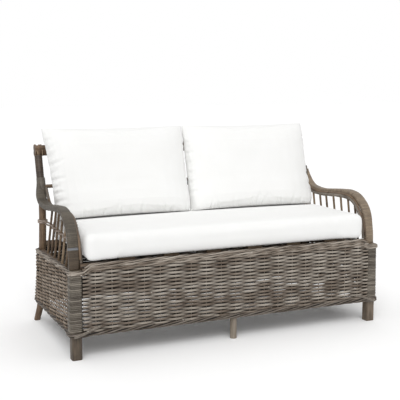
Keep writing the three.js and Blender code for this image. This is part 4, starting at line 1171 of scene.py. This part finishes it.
# %% Pleats
LEAN = math.radians(21.3)
MIDDLE = Vector((0.0, 0.2104, 0.7356))      # middle of the back cushions
UP_THE_BACK = Vector((0, math.sin(LEAN), math.cos(LEAN)))
OUT_OF_THE_BACK = Vector((0, -math.cos(LEAN), math.sin(LEAN)))
PLEATS = {
    "back_cushion_left": [(-722, 148, -667, 167, 5.0, 7), (-712, 106, -668, 126, 3.4, 6), (-708, 64, -670, 98, 5.0, 7),
                          (-706, 29, -633, 47, 5.5, 8), (-704, -10, -668, 2, 3.2, 6), (-704, -44, -634, -40, 5.0, 8),
                          (-702, -78, -664, -76, 3.0, 6), (-698, -107, -647, -108, 4.5, 7),
                          (-690, -150, -640, -146, 3.5, 8), (-690, -190, -625, -176, 4.0, 9),
                          (4, 120, -30, 112, 3.0, 7), (4, 30, -34, 26, 2.8, 7), (4, -60, -30, -58, 2.8, 7)],
    "back_cushion_right": [(-16, 128, 26, 120, 4.6, 8), (-16, 72, 34, 64, 4.8, 8), (-16, 20, 30, 18, 4.2, 8),
                           (-16, -34, 28, -34, 4.2, 8), (-16, -84, 30, -80, 4.5, 8), (-16, -140, 34, -132, 4.2, 9),
                           (712, 60, 670, 72, 4.0, 8), (708, 0, 660, 8, 4.0, 8), (706, -70, 656, -64, 4.5, 9),
                           (700, -130, 640, -120, 4.5, 10), (704, 130, 664, 140, 3.5, 8)],
}
dice = random.Random(77)
for name, low, high in (("back_cushion_left", -610, -40), ("back_cushion_right", 40, 620)):
    for k in range(11):
        x = low + (high - low) * (k + dice.uniform(0.1, 0.9)) / 11
        PLEATS[name].append((x, -226, x + dice.uniform(-14, 14), -226 + dice.uniform(26, 62), dice.uniform(1.6, 3.4),
                             dice.uniform(5, 9)))


def press(cover, pleats):
    """Pressed valleys: each is (x, h) at the seam, (x, h) at its end, depth and half width, all in mm."""
    normals = [v.normal.copy() for v in cover.data.vertices]     # read before any corner moves
    for v, normal in zip(cover.data.vertices, normals):
        u, h = v.co.x / MM, (v.co - MIDDLE).dot(UP_THE_BACK) / MM
        facing = ease(normal.dot(OUT_OF_THE_BACK), -0.2, 0.5)
        if facing == 0:
            continue
        push = 0.0
        for x0, h0, x1, h1, depth, wide in pleats:
            if abs(u - x0) > 90 or abs(h - h0) > 90:
                continue
            long = math.hypot(x1 - x0, h1 - h0)
            t = ((u - x0) * (x1 - x0) + (h - h0) * (h1 - h0)) / long ** 2
            off = abs((u - x0) * (h1 - h0) - (h - h0) * (x1 - x0)) / long
            if t < -0.5 or t > 1.3 or off > 3.5 * wide:
                continue
            fade = (1 - ease(t, 0.25, 1.15)) * (1 - 0.4 * t)
            valley, ridge = math.exp(-(off / wide) ** 2), math.exp(-((off - 1.9 * wide) / wide) ** 2)
            push += depth * fade * (valley - 0.35 * ridge)
        v.co -= normal * push * facing * MM


SINK = 13.0              # how far the back cushions press into the seat
BULGE = 26.0             # how far their feet come forwards
SEAM_SWELL, EDGE_SAG = 5.0, 9.0
DEEPER = 1.3             # the pleats are pressed in this much deeper than they are listed


def swell_inner_seam(cover, sign):
    """The two back cushions press on each other, so their inner seams swell until they nearly touch."""
    for v in cover.data.vertices:
        h = (v.co - MIDDLE).dot(UP_THE_BACK) / MM
        v.co.x += sign * SEAM_SWELL * MM * ease(sign * v.co.x / MM, -80, -12) * max(0.0, 1 - (h / 215) ** 2)


def rest_on_border(cover):
    """The seat's lower front edge sags on to the border, and its rear gives way under the back cushions."""
    for v in cover.data.vertices:
        v.co.z -= EDGE_SAG * MM * ease(-v.co.y / MM, 322, 352) * ease(475 - v.co.z / MM, 0, 40)
        v.co.z -= SINK * MM * ease(v.co.y / MM, 20, 110) * ease(v.co.z / MM, 470, 530)


def settle(cover):
    """A back cushion's foot sinks into the seat and bulges forwards over it."""
    for v in cover.data.vertices:
        h = (v.co - MIDDLE).dot(UP_THE_BACK) / MM
        foot = ease(-h, 60, 205)
        v.co.z -= SINK * MM * foot
        ahead = (v.co - MIDDLE).dot(OUT_OF_THE_BACK) / MM
        if ahead > 0:
            v.co.y -= BULGE * MM * foot * ease(ahead, 0, 25)


for word, sign in SIDES:
    settle(COVERS["back_cushion_" + word])
    swell_inner_seam(COVERS["back_cushion_" + word], -sign)
rest_on_border(COVERS["seat_cushion"])
for name, pleats in PLEATS.items():
    press(COVERS[name], [(x0, h0, x1, h1, depth * DEEPER, wide) for x0, h0, x1, h1, depth, wide in pleats])
    print(name, len(pleats), "pleats")
for name, cover in COVERS.items():
    finish(cover, canvas, name, "cushion", name)

# %% [markdown]
# ## Tape in the seam
# A short dark tape is caught in the side seam of the left back cushion. It is a strip folded on itself, and
# it is left blank.

# %% Seam tape
low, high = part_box("seam_tab")
(x0, y0, z0), (x1, y1, z1) = [[v / MM for v in corner] for corner in (low, high)]
middle = (y0 + y1) / 2
path = smooth_path([point(x, y, (z0 + z1) / 2) for x, y in
                    [(x0, middle + 1.4), (x1 - 3, middle + 1.7), (x1 - 0.8, middle), (x1 - 3, middle - 1.7),
                     (x0, middle - 1.4)]], 6)
tape = carry("seam_tape", [path], slab(0.6, (z1 - z0) / 2, 0.5, 2), seed=2)
tape_look, tree = new_look("woven_dark_tape")
place = add(tree, "ShaderNodeTexCoord")
# Ribs of the tape 1 mm apart
rib = add(tree, "ShaderNodeTexWave", {"bands_direction": "Z"}, Vector=(place, "Object"), Scale=160.0,
          Distortion=0.5)
tone = add(tree, "ShaderNodeMix", {"data_type": "RGBA"}, Factor=(rib, 1), A=linear("#33363c"),
           B=linear("#4c5057"))
close_look(tree, (tone, 2), 0.8, (rib, 1), 0.4, 0.3)
finish(tape, tape_look, "back_cushion_left", "tab", "seam_tab")
print("tape", round(x1 - x0, 1), "by", round(z1 - z0, 1), "mm")
